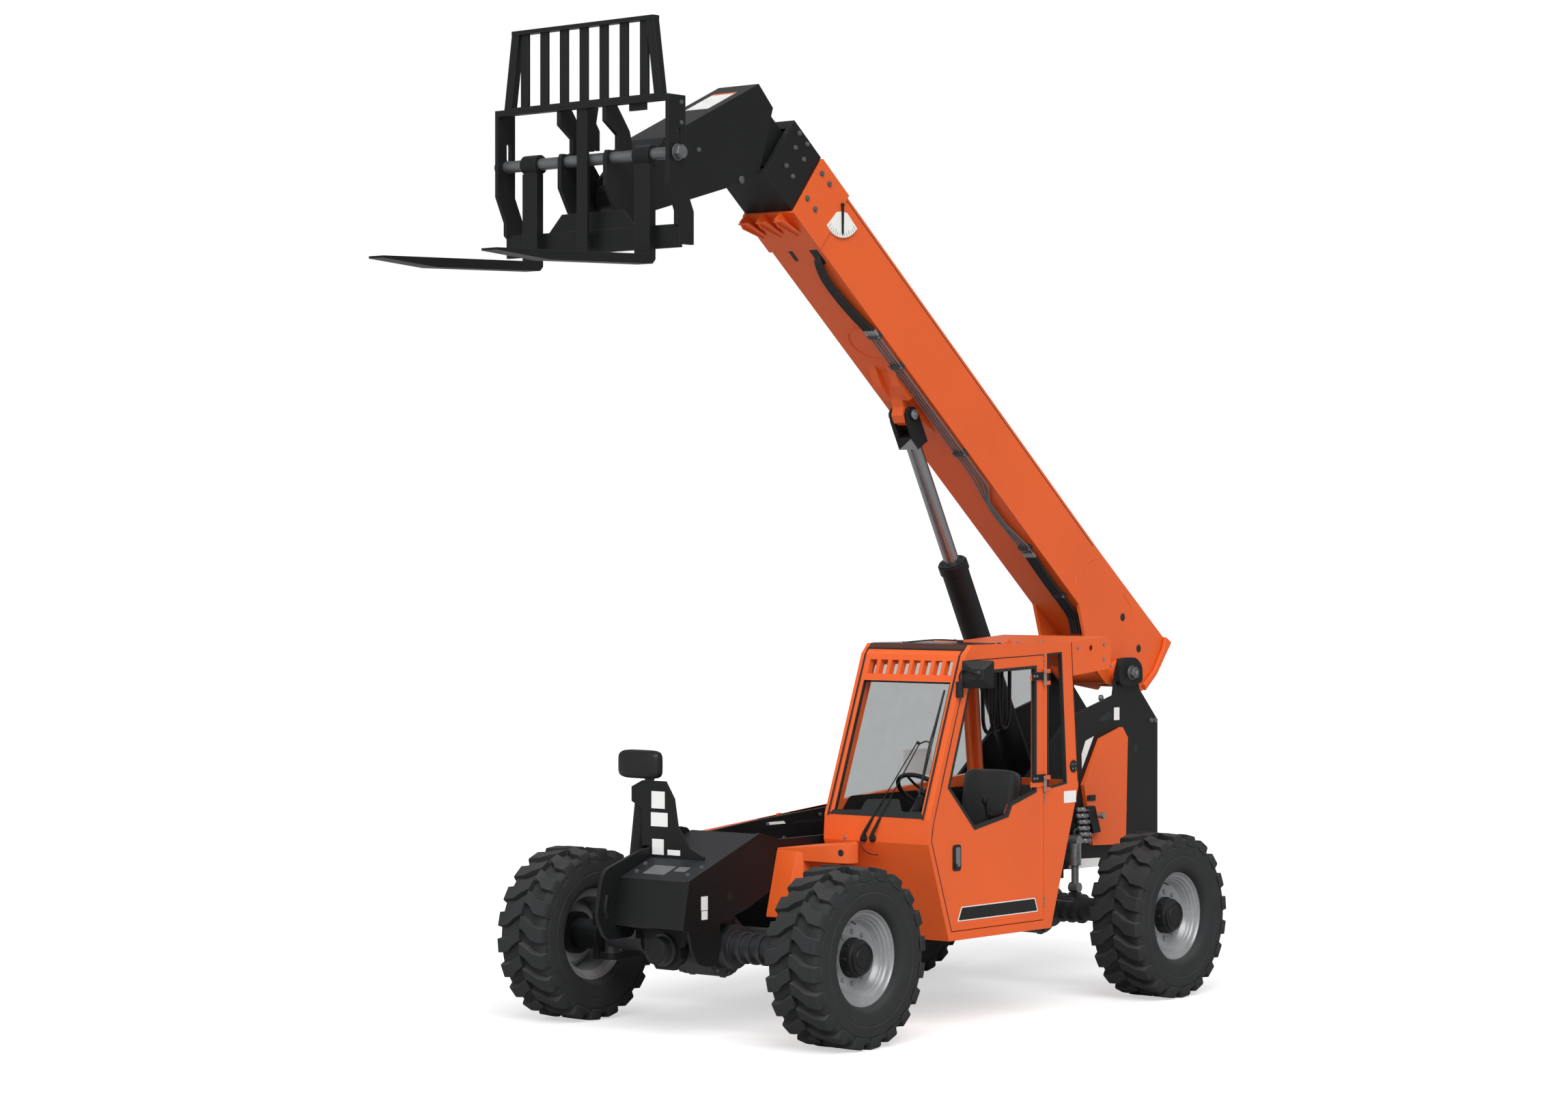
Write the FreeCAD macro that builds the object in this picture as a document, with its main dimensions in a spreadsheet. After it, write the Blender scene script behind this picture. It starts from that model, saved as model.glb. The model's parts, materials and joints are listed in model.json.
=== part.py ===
import FreeCAD, Part
import math
import os
import Sketcher

# A telescopic-handler forklift truck: four-wheel-steer carrier, cab on the left,
# engine pod on the right, three-section boom with a fork carriage.
# +X is forward, +Y is the cab side, +Z is up, and the origin is on the ground
# under the middle of the truck's overall length. All sizes are in millimetres
# and degrees.

Vector = FreeCAD.Vector
doc = FreeCAD.newDocument("telehandler")
sheet = doc.addObject("Spreadsheet::Sheet", "Spec")


# ---------------------------------------------------------------- quantities
class Size:
    """A number together with the sheet expression that yields it."""

    def __init__(self, value, text):
        self.value = float(value)
        self.text = text

    def __add__(self, other):
        return Size(self.value + num(other), "(%s + %s)" % (self.text, txt(other)))

    def __radd__(self, other):
        return Size(num(other) + self.value, "(%s + %s)" % (txt(other), self.text))

    def __sub__(self, other):
        return Size(self.value - num(other), "(%s - %s)" % (self.text, txt(other)))

    def __rsub__(self, other):
        return Size(num(other) - self.value, "(%s - %s)" % (txt(other), self.text))

    def __mul__(self, other):
        return Size(self.value * num(other), "(%s * %s)" % (self.text, txt(other)))

    def __rmul__(self, other):
        return self * other

    def __truediv__(self, other):
        return Size(self.value / num(other), "(%s / %s)" % (self.text, txt(other)))

    def __rtruediv__(self, other):
        return Size(num(other) / self.value, "(%s / %s)" % (txt(other), self.text))

    def __neg__(self):
        return Size(-self.value, "(0 - %s)" % self.text)


def num(q):
    return q.value if isinstance(q, Size) else float(q)


def txt(q):
    return q.text if isinstance(q, Size) else repr(float(q))


def cosine(a):
    return Size(math.cos(math.radians(num(a))), "cos(%s * 1deg)" % txt(a))


def sine(a):
    return Size(math.sin(math.radians(num(a))), "sin(%s * 1deg)" % txt(a))


def root(q):
    return Size(math.sqrt(num(q)), "sqrt(%s)" % txt(q))


def bearing(rise, run):
    """Angle in degrees of the line that goes forward by run and up by rise."""
    return Size(math.degrees(math.atan2(num(rise), num(run))),
                "(atan2(%s; %s) / 1deg)" % (txt(rise), txt(run)))


class Sizes:
    """Reads a named size of the sheet as a quantity."""

    def __init__(self):
        self.rows = {}

    def add(self, named):
        for alias, value in named.items():
            row = len(self.rows) + 1
            self.rows[alias] = value
            sheet.set("A%d" % row, alias)
            sheet.set("B%d" % row, str(value))
            sheet.setAlias("B%d" % row, alias)

    def __getattr__(self, alias):
        return Size(self.rows[alias], "Spec.%s" % alias)


S = Sizes()

# General: seat_gap is what lies between bolted pieces, running_gap between
# pieces that move past each other.
GENERAL = {
    "seat_gap": 0.3, "running_gap": 6, "mid_station": -490,
}

# Running gear
RUNNING_GEAR = {
    "wheelbase": 3330, "track": 2206, "tyre_radius": 548, "tyre_width": 400,
    "tread_radius": 506, "shoulder": 42, "bead_sides": 36, "lug_count": 20, "lug_long": 96,
    "lug_rake": 62, "lug_root": 96, "bead_radius": 292, "rim_radius": 280, "rim_width": 280,
    "rim_wall": 9, "dish_radius": 190, "dish_depth": 96, "dish_thickness": 16,
    "hub_radius": 118, "hub_reach": 20, "spindle_radius": 95, "kingpin_side": 800,
    "knuckle_height": 300, "knuckle_thickness": 44, "knuckle_cap_radius": 52,
    "kingpin_radius": 30, "steer_arm": 230,
}

# Axles
AXLES = {
    "axle_radius": 78, "axle_end_height": 150, "axle_rib": 10, "housing_radius": 190,
    "housing_width": 300, "housing_nose": 300, "trunnion_radius": 84,
    "trunnion_length": 190, "tie_rod_radius": 20,
}

# Main frame: the two side plates, front deck and post, and the boom tower
FRAME = {
    "frame_half": 293, "frame_plate": 25, "belly_z": 470, "belly_plate": 14, "nose_x": 2172,
    "nose_top_z": 990, "nose_low_x": 2229, "nose_low_z": 696, "crest_x": 1512,
    "crest_z": 1242, "dip_x": 1320, "dip_z": 1194, "chin_x": 2047, "chin_z": 647,
    "arch_front_x": 1888, "arch_front_z": 713, "arch_mid_x": 1621, "arch_mid_z": 788,
    "arch_top_x": 1430, "arch_top_z": 871, "arch_rear_x": 1250, "tie_x": 1794, "tie_z": 876,
    "tie_radius": 26, "waist_x": -950, "waist_z": 1200, "shoulder_x": -1780,
    "shoulder_z": 1840, "tower_front_z": 1975, "tower_rear_x": -2850,
    "tower_corner_z": 1787, "tower_neck_z": 2010, "tower_foot_z": 760,
    "rear_arch_front_x": -1180, "rear_arch_rear_x": -2150, "rear_arch_z": 800,
    "ear_radius": 125, "cab_block": 90, "cab_block_long": 110, "right_rise_x": 110,
    "right_rise_z": 1311, "right_front_x": 890, "right_front_z": 1258, "ear_front_x": 2289,
    "ear_low_x": 2160, "ear_slot_radius": 22, "ear_slot_z": 835, "ear_slot_long": 78,
    "ear_slot_back": 84, "deck_plate": 12, "deck_drop": 6, "hanger_x": 2025,
    "hanger_plate": 40, "hanger_low_z": 425, "hanger_half": 200, "hanger_waist": 128,
    "hanger_foot": 72, "post_x": 1878, "post_plate": 16, "post_outer": 340,
    "post_inner": 150, "post_top_z": 1563, "post_foot_z": 1160, "post_neck": 50,
    "post_neck_z": 1290, "post_toe": 165, "post_toe_z": 1112, "sway_ear": 430,
    "sway_ear_z": 1430,
}

# Boom pivot, boom attitude and sections (along = from the pivot along the
# boom, over = at right angles to it, upwards)
BOOM = {
    "pivot_x": -2470, "pivot_z": 2130, "boom_angle": 39, "pivot_radius": 50,
    "base_width": 400, "base_height": 440, "base_under": 92, "base_wall": 10,
    "base_start": 250, "base_end": 4640, "heel_end": -380, "heel_drop": 175,
    "heel_front": 650, "collar_length": 340, "collar_swell": 12, "mid_width": 336,
    "mid_height": 364, "mid_wall": 9, "mid_start": 640, "mid_end": 4985, "fly_width": 280,
    "fly_height": 296, "fly_wall": 9, "fly_start": 800, "head_half": 165, "head_wall": 20,
}

# Lift cylinder
LIFT_CYLINDER = {
    "lift_foot_x": -1760, "lift_foot_z": 1204, "lift_eye_along": 2789, "lift_eye_over": 0,
    "lift_barrel_radius": 92, "lift_barrel_length": 1945, "lift_rod_radius": 52,
    "lift_rod_length": 1800, "lift_pin_radius": 36, "lug_half": 45, "cheek_thickness": 30,
    "cheek_gap": 4, "clevis_back": 150, "clevis_block": 80, "clevis_half": 60,
}

# Head, tilt pin and carriage (in the truck's own directions)
HEAD = {
    "tilt_x": 2440, "tilt_z": 5120, "tilt_pin_radius": 30, "tilt_hub_radius": 92,
    "carriage_width": 1410, "carriage_rear_x": 2672, "carriage_front_x": 2823,
    "shaft_x": 2745, "shaft_z": 5324, "shaft_radius": 36, "shaft_overhang": 48,
    "plate_thickness": 24, "carriage_top_z": 5662, "carriage_low_z": 4790,
    "plate_bend_z": 5140, "plate_knee_z": 4985, "plate_low_rear_x": 2598,
    "slot_top_z": 5452, "slot_low_z": 5376, "slot_radius": 18, "rail_high": 36,
    "rail_deep": 44, "bar_low_z": 4770, "bar_high_z": 4908, "web_top_z": 5014,
    "web_half": 245, "web_foot_half": 355, "hook_plate": 28, "strap_half": 42,
    "strap_low_z": 4815, "backrest_x": 2757, "backrest_top_z": 6135, "backrest_width": 1150,
    "backrest_foot": 1280, "bar_count": 7, "bar_wide": 60, "bar_deep": 20,
    "fork_width": 120, "fork_thickness": 56, "fork_length": 1336, "fork_taper": 900,
    "fork_heel_z": 4680, "fork_side": 456, "fork_back_x": 2724, "fork_slope": 1.75,
    "ring_radius": 58,
}

# Cab
CAB = {
    "cab_inner_side": 360, "cab_outer_side": 1190, "cab_wall": 40, "cab_floor_z": 572,
    "cab_roof_z": 2400, "cab_nose_x": 968, "cab_nose_z": 1180, "cab_sill_x": 760,
    "cab_rear_sill_x": -316, "cab_rear_kink_x": -617, "cab_rear_kink_z": 1463,
    "cab_roof_front_x": 590, "cab_roof_front_z": 2336, "cab_roof_rear_x": -530,
    "cowl_z": 1336, "hinge_x": -232, "door_gap": 6, "visor_low_z": 2170, "pillar": 70,
    "glass": 6,
}

# Engine side
ENGINE_SIDE = {
    "pod_front_x": 810, "pod_rear_x": -915, "pod_inner": 322, "pod_outer": 1235,
    "pod_floor_z": 500, "pod_top_z": 1250, "pod_slope": 4.5, "hood_sheet": 4,
    "tray_plate": 12, "hinge_reach": 8, "knuckle_radius": 8, "slot_count": 9,
}

# Door hinges: knuckles on an upright axis just outside the door
DOOR_HINGES = {
    "door_axis": 11.5, "door_knuckle_radius": 11, "door_knuckle_high": 46, "strap_high": 36,
    "strap_long": 70, "strap_plate": 6, "hinge_low_z": 1500, "hinge_high_z": 2180,
}

# Covers, cab fittings, mirrors, hoses and small cylinders
FITTINGS = {
    "fender_rear_x": 974, "fender_front_x": 1340, "fender_flare_x": 1456,
    "fender_flare_y": 436, "fender_foot_z": 720, "fender_inner_top_z": 1142,
    "fender_outer_top_z": 1200, "fender_skirt_y": 500, "fender_outer_y": 862,
    "fender_over_z": 1106, "fender_corner": 96, "fender_sheet": 8, "fender_hole_y": 742,
    "fender_hole_z": 1152, "fender_hole_radius": 21, "cover_front_x": -2015,
    "cover_rear_x": -2412, "cover_low_z": 949, "cover_top_z": 1752, "cover_depth": 30,
    "hose_cover_rear_x": -990, "hose_cover_low_z": 2180, "hose_count": 3,
    "hose_low_z": 1780, "hose_radius": 13, "seat_side": 760, "seat_x": -60, "seat_z": 1130,
    "dash_rear_x": 600, "steer_wheel_x": 470, "steer_wheel_z": 1430,
    "steer_wheel_radius": 180, "grip_radius": 15, "column_radius": 30, "column_rake": 32,
    "cab_mirror_x": 590, "cab_mirror_y": 1290, "cab_mirror_z": 2215, "cab_mirror_wide": 170,
    "cab_mirror_high": 190, "cab_mirror_deep": 60, "front_mirror_y": -368,
    "front_mirror_wide": 345, "front_mirror_high": 180, "front_mirror_deep": 70,
    "front_mirror_rise": 8, "sway_side": 383, "sway_high_z": 1473, "sway_low_z": 800,
    "sway_lean": 7.4, "sway_radius": 62, "sway_eye": 62, "stab_side": 420,
    "stab_low_z": 690, "stab_high_z": 1010, "stab_radius": 42, "valve_x": -1800,
    "valve_z": 960, "dial_along": 4302, "dial_over": 430, "dial_radius": 190,
    "dial_half_angle": 30, "line_start": 700, "line_bend": 1500, "line_end": 3900,
    "line_count": 4, "line_radius": 8,
}

for sizes in (GENERAL, RUNNING_GEAR, AXLES, FRAME, BOOM, LIFT_CYLINDER,
              HEAD, CAB, ENGINE_SIDE, DOOR_HINGES, FITTINGS):
    S.add(sizes)
doc.recompute()

# ---------------------------------------------------------------- builders
HALF = 0.5
exports = []


def bind(obj, prop, q):
    """Set a property and tie it to the sheet."""
    value = num(q)
    setattr(obj, prop, int(value) if prop == "Occurrences" else value)
    if isinstance(q, Size):
        obj.setExpression(prop, q.text)


def place(obj, at=(0, 0, 0), axis=(0, 0, 1), angle=0):
    """Tie a whole placement: position, axis and angle in degrees."""
    obj.setExpression("Placement", "create(<<placement>>; create(<<vector>>; %s; %s; %s); "
                      "create(<<rotation>>; create(<<vector>>; %s; %s; %s); %s))"
                      % (txt(at[0]), txt(at[1]), txt(at[2]),
                         txt(axis[0]), txt(axis[1]), txt(axis[2]), txt(angle)))


def box(name, low, high):
    """Block between two corners."""
    obj = doc.addObject("Part::Box", name)
    bind(obj, "Length", high[0] - low[0])
    bind(obj, "Width", high[1] - low[1])
    bind(obj, "Height", high[2] - low[2])
    place(obj, low)
    return obj


AXES = {"x": ((0, 1, 0), 90), "y": ((1, 0, 0), -90), "z": ((0, 0, 1), 0)}


def rod(name, start, axis, radius, length):
    """Round bar from start along +x, +y or +z."""
    obj = doc.addObject("Part::Cylinder", name)
    bind(obj, "Radius", radius)
    bind(obj, "Height", length)
    place(obj, start, *AXES[axis])
    return obj


def fuse(name, *objs):
    obj = doc.addObject("Part::MultiFuse", name)
    obj.Shapes = list(objs)
    obj.Refine = True
    return obj


def cut(name, base, *tools):
    """Base less its tools."""
    tool = tools[0] if len(tools) == 1 else group(name + "_tools", *tools)
    obj = doc.addObject("Part::Cut", name)
    obj.Base = base
    obj.Tool = tool
    obj.Refine = True
    return obj


def group(name, *objs):
    obj = doc.addObject("Part::Compound", name)
    obj.Links = list(objs)
    return obj


def mirrored(name, obj):
    """The same piece on the other side of the truck's middle plane."""
    out = doc.addObject("Part::Mirroring", name)
    out.Source = obj
    out.Normal = Vector(0, 1, 0)
    out.Base = Vector(0, 0, 0)
    return out


PLANES = {"XY": "XY_Plane", "XZ": "XZ_Plane", "YZ": "YZ_Plane"}


def sketch(body, plane, offset, outlines):
    """Sketch of closed outlines; each is a list of points or (centre, radius)."""
    sk = body.newObject("Sketcher::SketchObject", body.Name + "_sketch")
    for feature in body.Origin.OriginFeatures:
        if feature.Role == PLANES[plane]:
            sk.AttachmentSupport = [(feature, "")]
    sk.MapMode = "FlatFace"
    shift = -offset if plane == "XZ" else offset
    sk.AttachmentOffset = FreeCAD.Placement(Vector(0, 0, num(shift)), FreeCAD.Rotation())
    if isinstance(shift, Size):
        sk.setExpression("AttachmentOffset.Base.z", shift.text)
    for outline in outlines:
        first = sk.GeometryCount
        if isinstance(outline, tuple):
            (across, up), radius = outline
            sk.addGeometry(Part.Circle(Vector(num(across), num(up), 0), Vector(0, 0, 1),
                                       num(radius)), False)
            pin(sk, first, 3, across, up)
            index = sk.addConstraint(Sketcher.Constraint("Radius", first, num(radius)))
            if isinstance(radius, Size):
                sk.setExpression("Constraints[%d]" % index, radius.text)
            continue
        count = len(outline)
        corner = [Vector(num(a), num(b), 0) for a, b in outline]
        sk.addGeometry([Part.LineSegment(corner[i], corner[(i + 1) % count])
                        for i in range(count)], False)
        sk.addConstraint([Sketcher.Constraint("Coincident", first + i, 2,
                                              first + (i + 1) % count, 1)
                          for i in range(count)])
        for i, (across, up) in enumerate(outline):
            pin(sk, first + i, 1, across, up)
    return sk


def pin(sk, geometry, point, across, up):
    """Hold one sketch point at its two distances from the origin."""
    for kind, q in (("DistanceX", across), ("DistanceY", up)):
        index = sk.addConstraint(Sketcher.Constraint(kind, -1, 1, geometry, point, num(q)))
        if isinstance(q, Size):
            sk.setExpression("Constraints[%d]" % index, q.text)


def slab(name, plane, outline, start, end, *holes, rounds=None):
    """Body padded from an outline between two stations along the plane's normal.

    rounds maps a radius to the outline corners that it rounds off."""
    body = doc.addObject("PartDesign::Body", name)
    offset = end if plane == "XZ" else start
    sk = sketch(body, plane, offset, [outline] + list(holes))
    pad = body.newObject("PartDesign::Pad", name + "_pad")
    pad.Profile = sk
    bind(pad, "Length", end - start)
    for radius, corners in (rounds or []):
        doc.recompute()
        base = body.Tip
        edges = []
        for corner in corners:
            across, up = (num(v) for v in outline[corner])
            for i, edge in enumerate(base.Shape.Edges):
                at = [flat(plane, v.Point) for v in edge.Vertexes]
                if len(at) == 2 and all(math.dist(p, (across, up)) < 0.01 for p in at):
                    edges.append("Edge%d" % (i + 1))
        fillet = body.newObject("PartDesign::Fillet", name + "_round")
        fillet.Base = (base, edges)
        bind(fillet, "Radius", radius)
    return body


def flat(plane, p):
    return {"XY": (p.x, p.y), "XZ": (p.x, p.z), "YZ": (p.y, p.z)}[plane]


def pad_on(body, plane, outline, start, end, *holes):
    """Further pad on the same body."""
    sk = sketch(body, plane, end if plane == "XZ" else start, [outline] + list(holes))
    pad = body.newObject("PartDesign::Pad", body.Name + "_more")
    pad.Profile = sk
    bind(pad, "Length", end - start)
    return pad


def turned(name, outline, axis="Y"):
    """Body revolved about Y, or about Z from an outline of radius and height."""
    body = doc.addObject("PartDesign::Body", name)
    sk = sketch(body, "YZ" if axis == "Y" else "XZ", 0, [outline])
    turn = body.newObject("PartDesign::Revolution", name + "_turn")
    turn.Profile = sk
    for feature in body.Origin.OriginFeatures:
        if feature.Role == axis + "_Axis":
            turn.ReferenceAxis = (feature, [""])
    turn.Angle = 360
    return body


def cord(points, radius):
    """Plain eight-sided hose or line that bends at its points, all in one plane."""
    path = [Vector(*[num(c) for c in p]) for p in points]
    first = (path[1] - path[0]).normalize()
    across = first.cross(Vector(0, 1, 0))
    if across.Length < 0.01:
        across = first.cross(Vector(1, 0, 0))
    across.normalize()
    other = first.cross(across)
    ring = [path[0] + (across * math.cos(math.pi / 4 * k) + other * math.sin(math.pi / 4 * k))
            * num(radius) for k in range(8)]
    profile = Part.makePolygon(ring + ring[:1])
    return Part.makePolygon(path).makePipeShell([profile], True, False, 1)


def label(name, obj, at=None, axis=(0, 0, 1), angle=0):
    """Name a finished sub-part, put it on the truck and list it for export."""
    if obj.TypeId in ("Part::Box", "Part::Cylinder"):
        obj = group(name, obj)
    obj.Label = name
    place(obj, at or (S.mid_station, 0, 0), axis, angle)
    exports.append((name, obj))
    return obj


# ---------------------------------------------------------------- stations
front_x = S.wheelbase * HALF
rear_x = -S.wheelbase * HALF
inner = S.frame_half - S.frame_plate


# ---------------------------------------------------------------- wheels
def ring_prism(name, sides, radius):
    """Many-sided bar round the wheel's axis, as wide as the tyre."""
    prism = doc.addObject("Part::Prism", name)
    prism.Polygon = int(sides.value)
    prism.setExpression("Polygon", sides.text)
    bind(prism, "Circumradius", radius)
    bind(prism, "Height", S.tyre_width)
    place(prism, (0, S.tyre_width * HALF, 0), (1, 0, 0), 90)
    return prism


def make_tyre():
    """Carcass with bevelled shoulders and beads, and two staggered rows of raked lugs."""
    half = S.tyre_width * HALF
    body = doc.addObject("PartDesign::Body", "tyre_master")
    body.BaseFeature = cut("tyre_ring", ring_prism("tyre_tread", S.lug_count, S.tread_radius),
                           ring_prism("tyre_bore", S.bead_sides,
                                      S.bead_radius / cosine(180 / S.bead_sides)))
    doc.recompute()
    walls = ["Face%d" % (i + 1) for i, face in enumerate(body.Shape.Faces)
             if abs(face.normalAt(0, 0).y) > 0.9]
    bevel = body.newObject("PartDesign::Chamfer", "tyre_bevel")
    bevel.Base = (body.Group[0], walls)
    bind(bevel, "Size", S.shoulder)
    body.Tip = bevel
    half_pitch = 180 / S.lug_count
    heel = S.lug_long * 0.5
    reach = heel + S.lug_rake * 0.35
    for side, turn in ((1, Size(0, "0")), (-1, half_pitch)):
        bar = [(0 - heel, side * 2), (S.lug_long * 0.2, side * 2),
               (reach, side * half), (S.lug_rake * 0.35 - 10, side * half)]
        sk = sketch(body, "XY", 0, [bar])
        place_sketch(sk, turn)
        pad = body.newObject("PartDesign::Pad", "lug_row")
        pad.Profile = sk
        bind(pad, "Length", root(S.tyre_radius * S.tyre_radius - reach * reach)
             - (S.tread_radius - S.lug_root))
        doc.recompute()
        row = body.newObject("PartDesign::PolarPattern", "lug_rows")
        row.Originals = [pad]
        for feature in body.Origin.OriginFeatures:
            if feature.Role == "Y_Axis":
                row.Axis = (feature, [""])
        row.Angle = 360
        bind(row, "Occurrences", S.lug_count)
        body.Tip = row
    return body


def place_sketch(sk, turn):
    """Lay a lug's sketch under the tread, turned about the wheel's axis."""
    reach = S.tread_radius - S.lug_root
    base = (reach * sine(turn), Size(0, "0"), reach * cosine(turn))
    sk.AttachmentOffset = FreeCAD.Placement(Vector(*[num(c) for c in base]),
                                            FreeCAD.Rotation(Vector(0, 1, 0), num(turn)))
    sk.setExpression("AttachmentOffset", "create(<<placement>>; create(<<vector>>; %s; %s; %s); "
                     "create(<<rotation>>; create(<<vector>>; 0; 1; 0); %s))"
                     % (base[0].text, base[1].text, base[2].text, turn.text))


def make_rim():
    half = S.rim_width * HALF
    seat = S.bead_radius - S.seat_gap
    drum = S.spindle_radius + S.rim_wall
    face = half - S.dish_depth
    outline = [
        (-half, S.rim_radius - 6), (-half, seat), (half, seat), (half, S.rim_radius - 6),
        (half - 26, S.rim_radius - 14), (half - 34, S.rim_radius - 34),
        (half - 70, S.rim_radius - 44), (face, S.dish_radius + 14), (face, S.hub_radius),
        (half - S.hub_reach, S.hub_radius), (half - S.hub_reach + 14, S.hub_radius - 24),
        (half - S.hub_reach + 14, 0), (face - 60, 0), (face - 60, S.hub_radius + 16),
        (face - S.dish_thickness, S.hub_radius + 16), (face - S.dish_thickness, S.dish_radius),
        (half - 84, S.rim_radius - 56), (0 - half + 40, S.rim_radius - 44),
        (0 - half + 26, S.rim_radius - 14)]
    return turned("rim_master", outline)


tyre = make_tyre()
rim = make_rim()
tyre_right = mirrored("tyre_mirror", tyre)
rim_right = mirrored("rim_mirror", rim)
wheel_side = S.track * HALF
for end, station in (("front", front_x), ("rear", rear_x)):
    for side, sign, rubber, steel in (("left", 1, tyre, rim), ("right", -1, tyre_right, rim_right)):
        at = (S.mid_station + station, sign * wheel_side, S.tyre_radius)
        label("tyre_%s_%s" % (end, side), group("tyre_%s_%s" % (end, side), rubber), at)
        label("rim_%s_%s" % (end, side), group("rim_%s_%s" % (end, side), steel), at)

# ---------------------------------------------------------------- knuckles
face_y = wheel_side + S.rim_width * HALF - S.dish_depth - 60
def make_knuckle(name):
    """Left knuckle about its own kingpin; the spindle reaches out to the hub."""
    out = face_y - S.kingpin_side - S.seat_gap
    top = S.knuckle_height * HALF
    web_y = Size(60, "60")
    spindle = rod(name + "_spindle", (0, web_y, 0), "y", S.spindle_radius, out - web_y)
    web = box(name + "_web", (-S.knuckle_cap_radius - 20, web_y, -top),
              (S.knuckle_cap_radius + 20, web_y + S.knuckle_thickness, top))
    parts = [spindle, web]
    for sign in (1, -1):
        low = top - S.knuckle_thickness if sign == 1 else -top
        parts.append(box(name + "_arm", (-S.knuckle_cap_radius, 0, low),
                         (S.knuckle_cap_radius, web_y + S.knuckle_thickness,
                          low + S.knuckle_thickness)))
        parts.append(rod(name + "_cap", (0, 0, low), "z", S.knuckle_cap_radius,
                         S.knuckle_thickness))
    # kingpin through both eyes, and the steering arm behind it
    arm = box(name + "_lever", (-S.steer_arm, -10 - S.tie_rod_radius, -top),
              (0, 30, -top + S.knuckle_thickness))
    parts.append(arm)
    return fuse(name, *parts)


for end, station in (("front", front_x), ("rear", rear_x)):
    left = make_knuckle("knuckle_%s_left" % end)
    right = mirrored("knuckle_%s_right" % end, make_knuckle("knuckle_%s_twin" % end))
    label("knuckle_%s_left" % end, left,
          (S.mid_station + station, S.kingpin_side, S.tyre_radius))
    label("knuckle_%s_right" % end, right,
          (S.mid_station + station, -S.kingpin_side, S.tyre_radius))


# ---------------------------------------------------------------- axles
# the sway cylinder leans outwards from its pin on the post down to the axle
sway_x = S.post_x - S.sway_eye - S.seat_gap
sway_length = (S.sway_high_z - S.sway_low_z) / cosine(S.sway_lean)
sway_low_side = S.sway_side + sway_length * sine(S.sway_lean)
sway_seat_z = (S.sway_low_z - S.tyre_radius - 36 * sine(S.sway_lean)
               - S.sway_eye * cosine(S.sway_lean) - S.seat_gap)


def make_axle(name, nose_sign):
    """Axle beam about its own centre, with ribs, end eyes and centre housing."""
    eye_top = S.knuckle_height * HALF - S.knuckle_thickness - S.seat_gap
    beam = rod(name + "_tube", (0, 10 - S.kingpin_side, 0), "y", S.axle_radius,
               S.kingpin_side * 2 - 20)
    parts = [beam]
    for sign in (1, -1):
        parts.append(rod(name + "_eye", (0, sign * S.kingpin_side, -eye_top), "z",
                         S.knuckle_cap_radius - 2, eye_top * 2))
        for k in range(4):
            y = sign * (S.housing_width * HALF + 90 + 80 * k)
            parts.append(rod(name + "_rib", (0, y - S.axle_rib, 0), "y",
                             S.axle_radius + 22, S.axle_rib * 2))
    parts.append(rod(name + "_housing", (0, 0 - S.housing_width * HALF, 0), "y",
                     S.housing_radius, S.housing_width))
    parts.append(rod(name + "_cover", (0, S.housing_width * HALF - 1, 0), "y",
                     S.housing_radius * 0.72, S.housing_width * 0.3))
    if nose_sign > 0:
        start = (0, 0, 0)
    else:
        start = (-S.housing_nose, 0, 0)
    parts.append(rod(name + "_nose", start, "x", S.trunnion_radius + 30, S.housing_nose))
    if nose_sign > 0:
        parts.append(rod(name + "_trunnion", (S.housing_nose - 1, 0, 0), "x",
                         S.trunnion_radius, S.trunnion_length))
        parts.append(rod(name + "_flange", (S.hanger_x + S.hanger_plate + S.running_gap - front_x,
                                            0, 0), "x", S.trunnion_radius + 16, Size(18, "18")))
        parts.append(box(name + "_bracket", (40, 0 - sway_low_side - 40, 20),
                         (sway_x - front_x + 40, 0 - sway_low_side + 40, sway_seat_z)))
    else:
        parts.append(box(name + "_bracket", (-30, S.stab_side - 34, 20),
                         (30, S.stab_side + 34,
                          S.stab_low_z - S.stab_radius * 0.8 - S.tyre_radius - S.seat_gap)))
    return fuse(name, *parts)


label("front_axle", make_axle("front_axle", 1), (S.mid_station + front_x, 0, S.tyre_radius))
label("rear_axle", make_axle("rear_axle", -1), (S.mid_station + rear_x, 0, S.tyre_radius))

# ---------------------------------------------------------------- main frame
half = S.frame_half
sg = S.seat_gap
tower = [
    (S.waist_x, S.waist_z), (S.shoulder_x, S.shoulder_z),
    (S.pivot_x + S.ear_radius + 30, S.tower_front_z), (S.pivot_x + S.ear_radius, S.pivot_z),
    (S.pivot_x + S.ear_radius * 0.7, S.pivot_z + S.ear_radius * 0.8),
    (S.pivot_x - S.ear_radius * 0.7, S.pivot_z + S.ear_radius * 0.8),
    (S.pivot_x - S.ear_radius, S.pivot_z), (S.pivot_x - S.ear_radius - 30, S.tower_neck_z),
    (S.tower_rear_x, S.tower_corner_z), (S.tower_rear_x, S.tower_foot_z),
    (S.rear_arch_rear_x - 90, S.tower_foot_z - 60), (S.rear_arch_rear_x, S.rear_arch_z),
    (S.rear_arch_front_x, S.rear_arch_z), (S.rear_arch_front_x + 90, S.belly_z),
    (S.arch_rear_x - 90, S.belly_z), (S.arch_rear_x, S.arch_top_z),
    (S.arch_top_x, S.arch_top_z), (S.arch_mid_x, S.arch_mid_z),
    (S.arch_front_x, S.arch_front_z), (S.chin_x, S.chin_z)]
pivot_bore = ((S.pivot_x, S.pivot_z), S.pivot_radius + sg)
tie_bore = ((S.tie_x, S.tie_z), S.tie_radius)
left_plate = slab("left_plate", "XZ",
                  [(S.nose_x, S.nose_top_z), (S.crest_x, S.crest_z), (S.dip_x, S.dip_z)]
                  + tower + [(S.nose_low_x, S.nose_low_z)],
                  half - S.frame_plate, half, pivot_bore, tie_bore)
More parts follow.
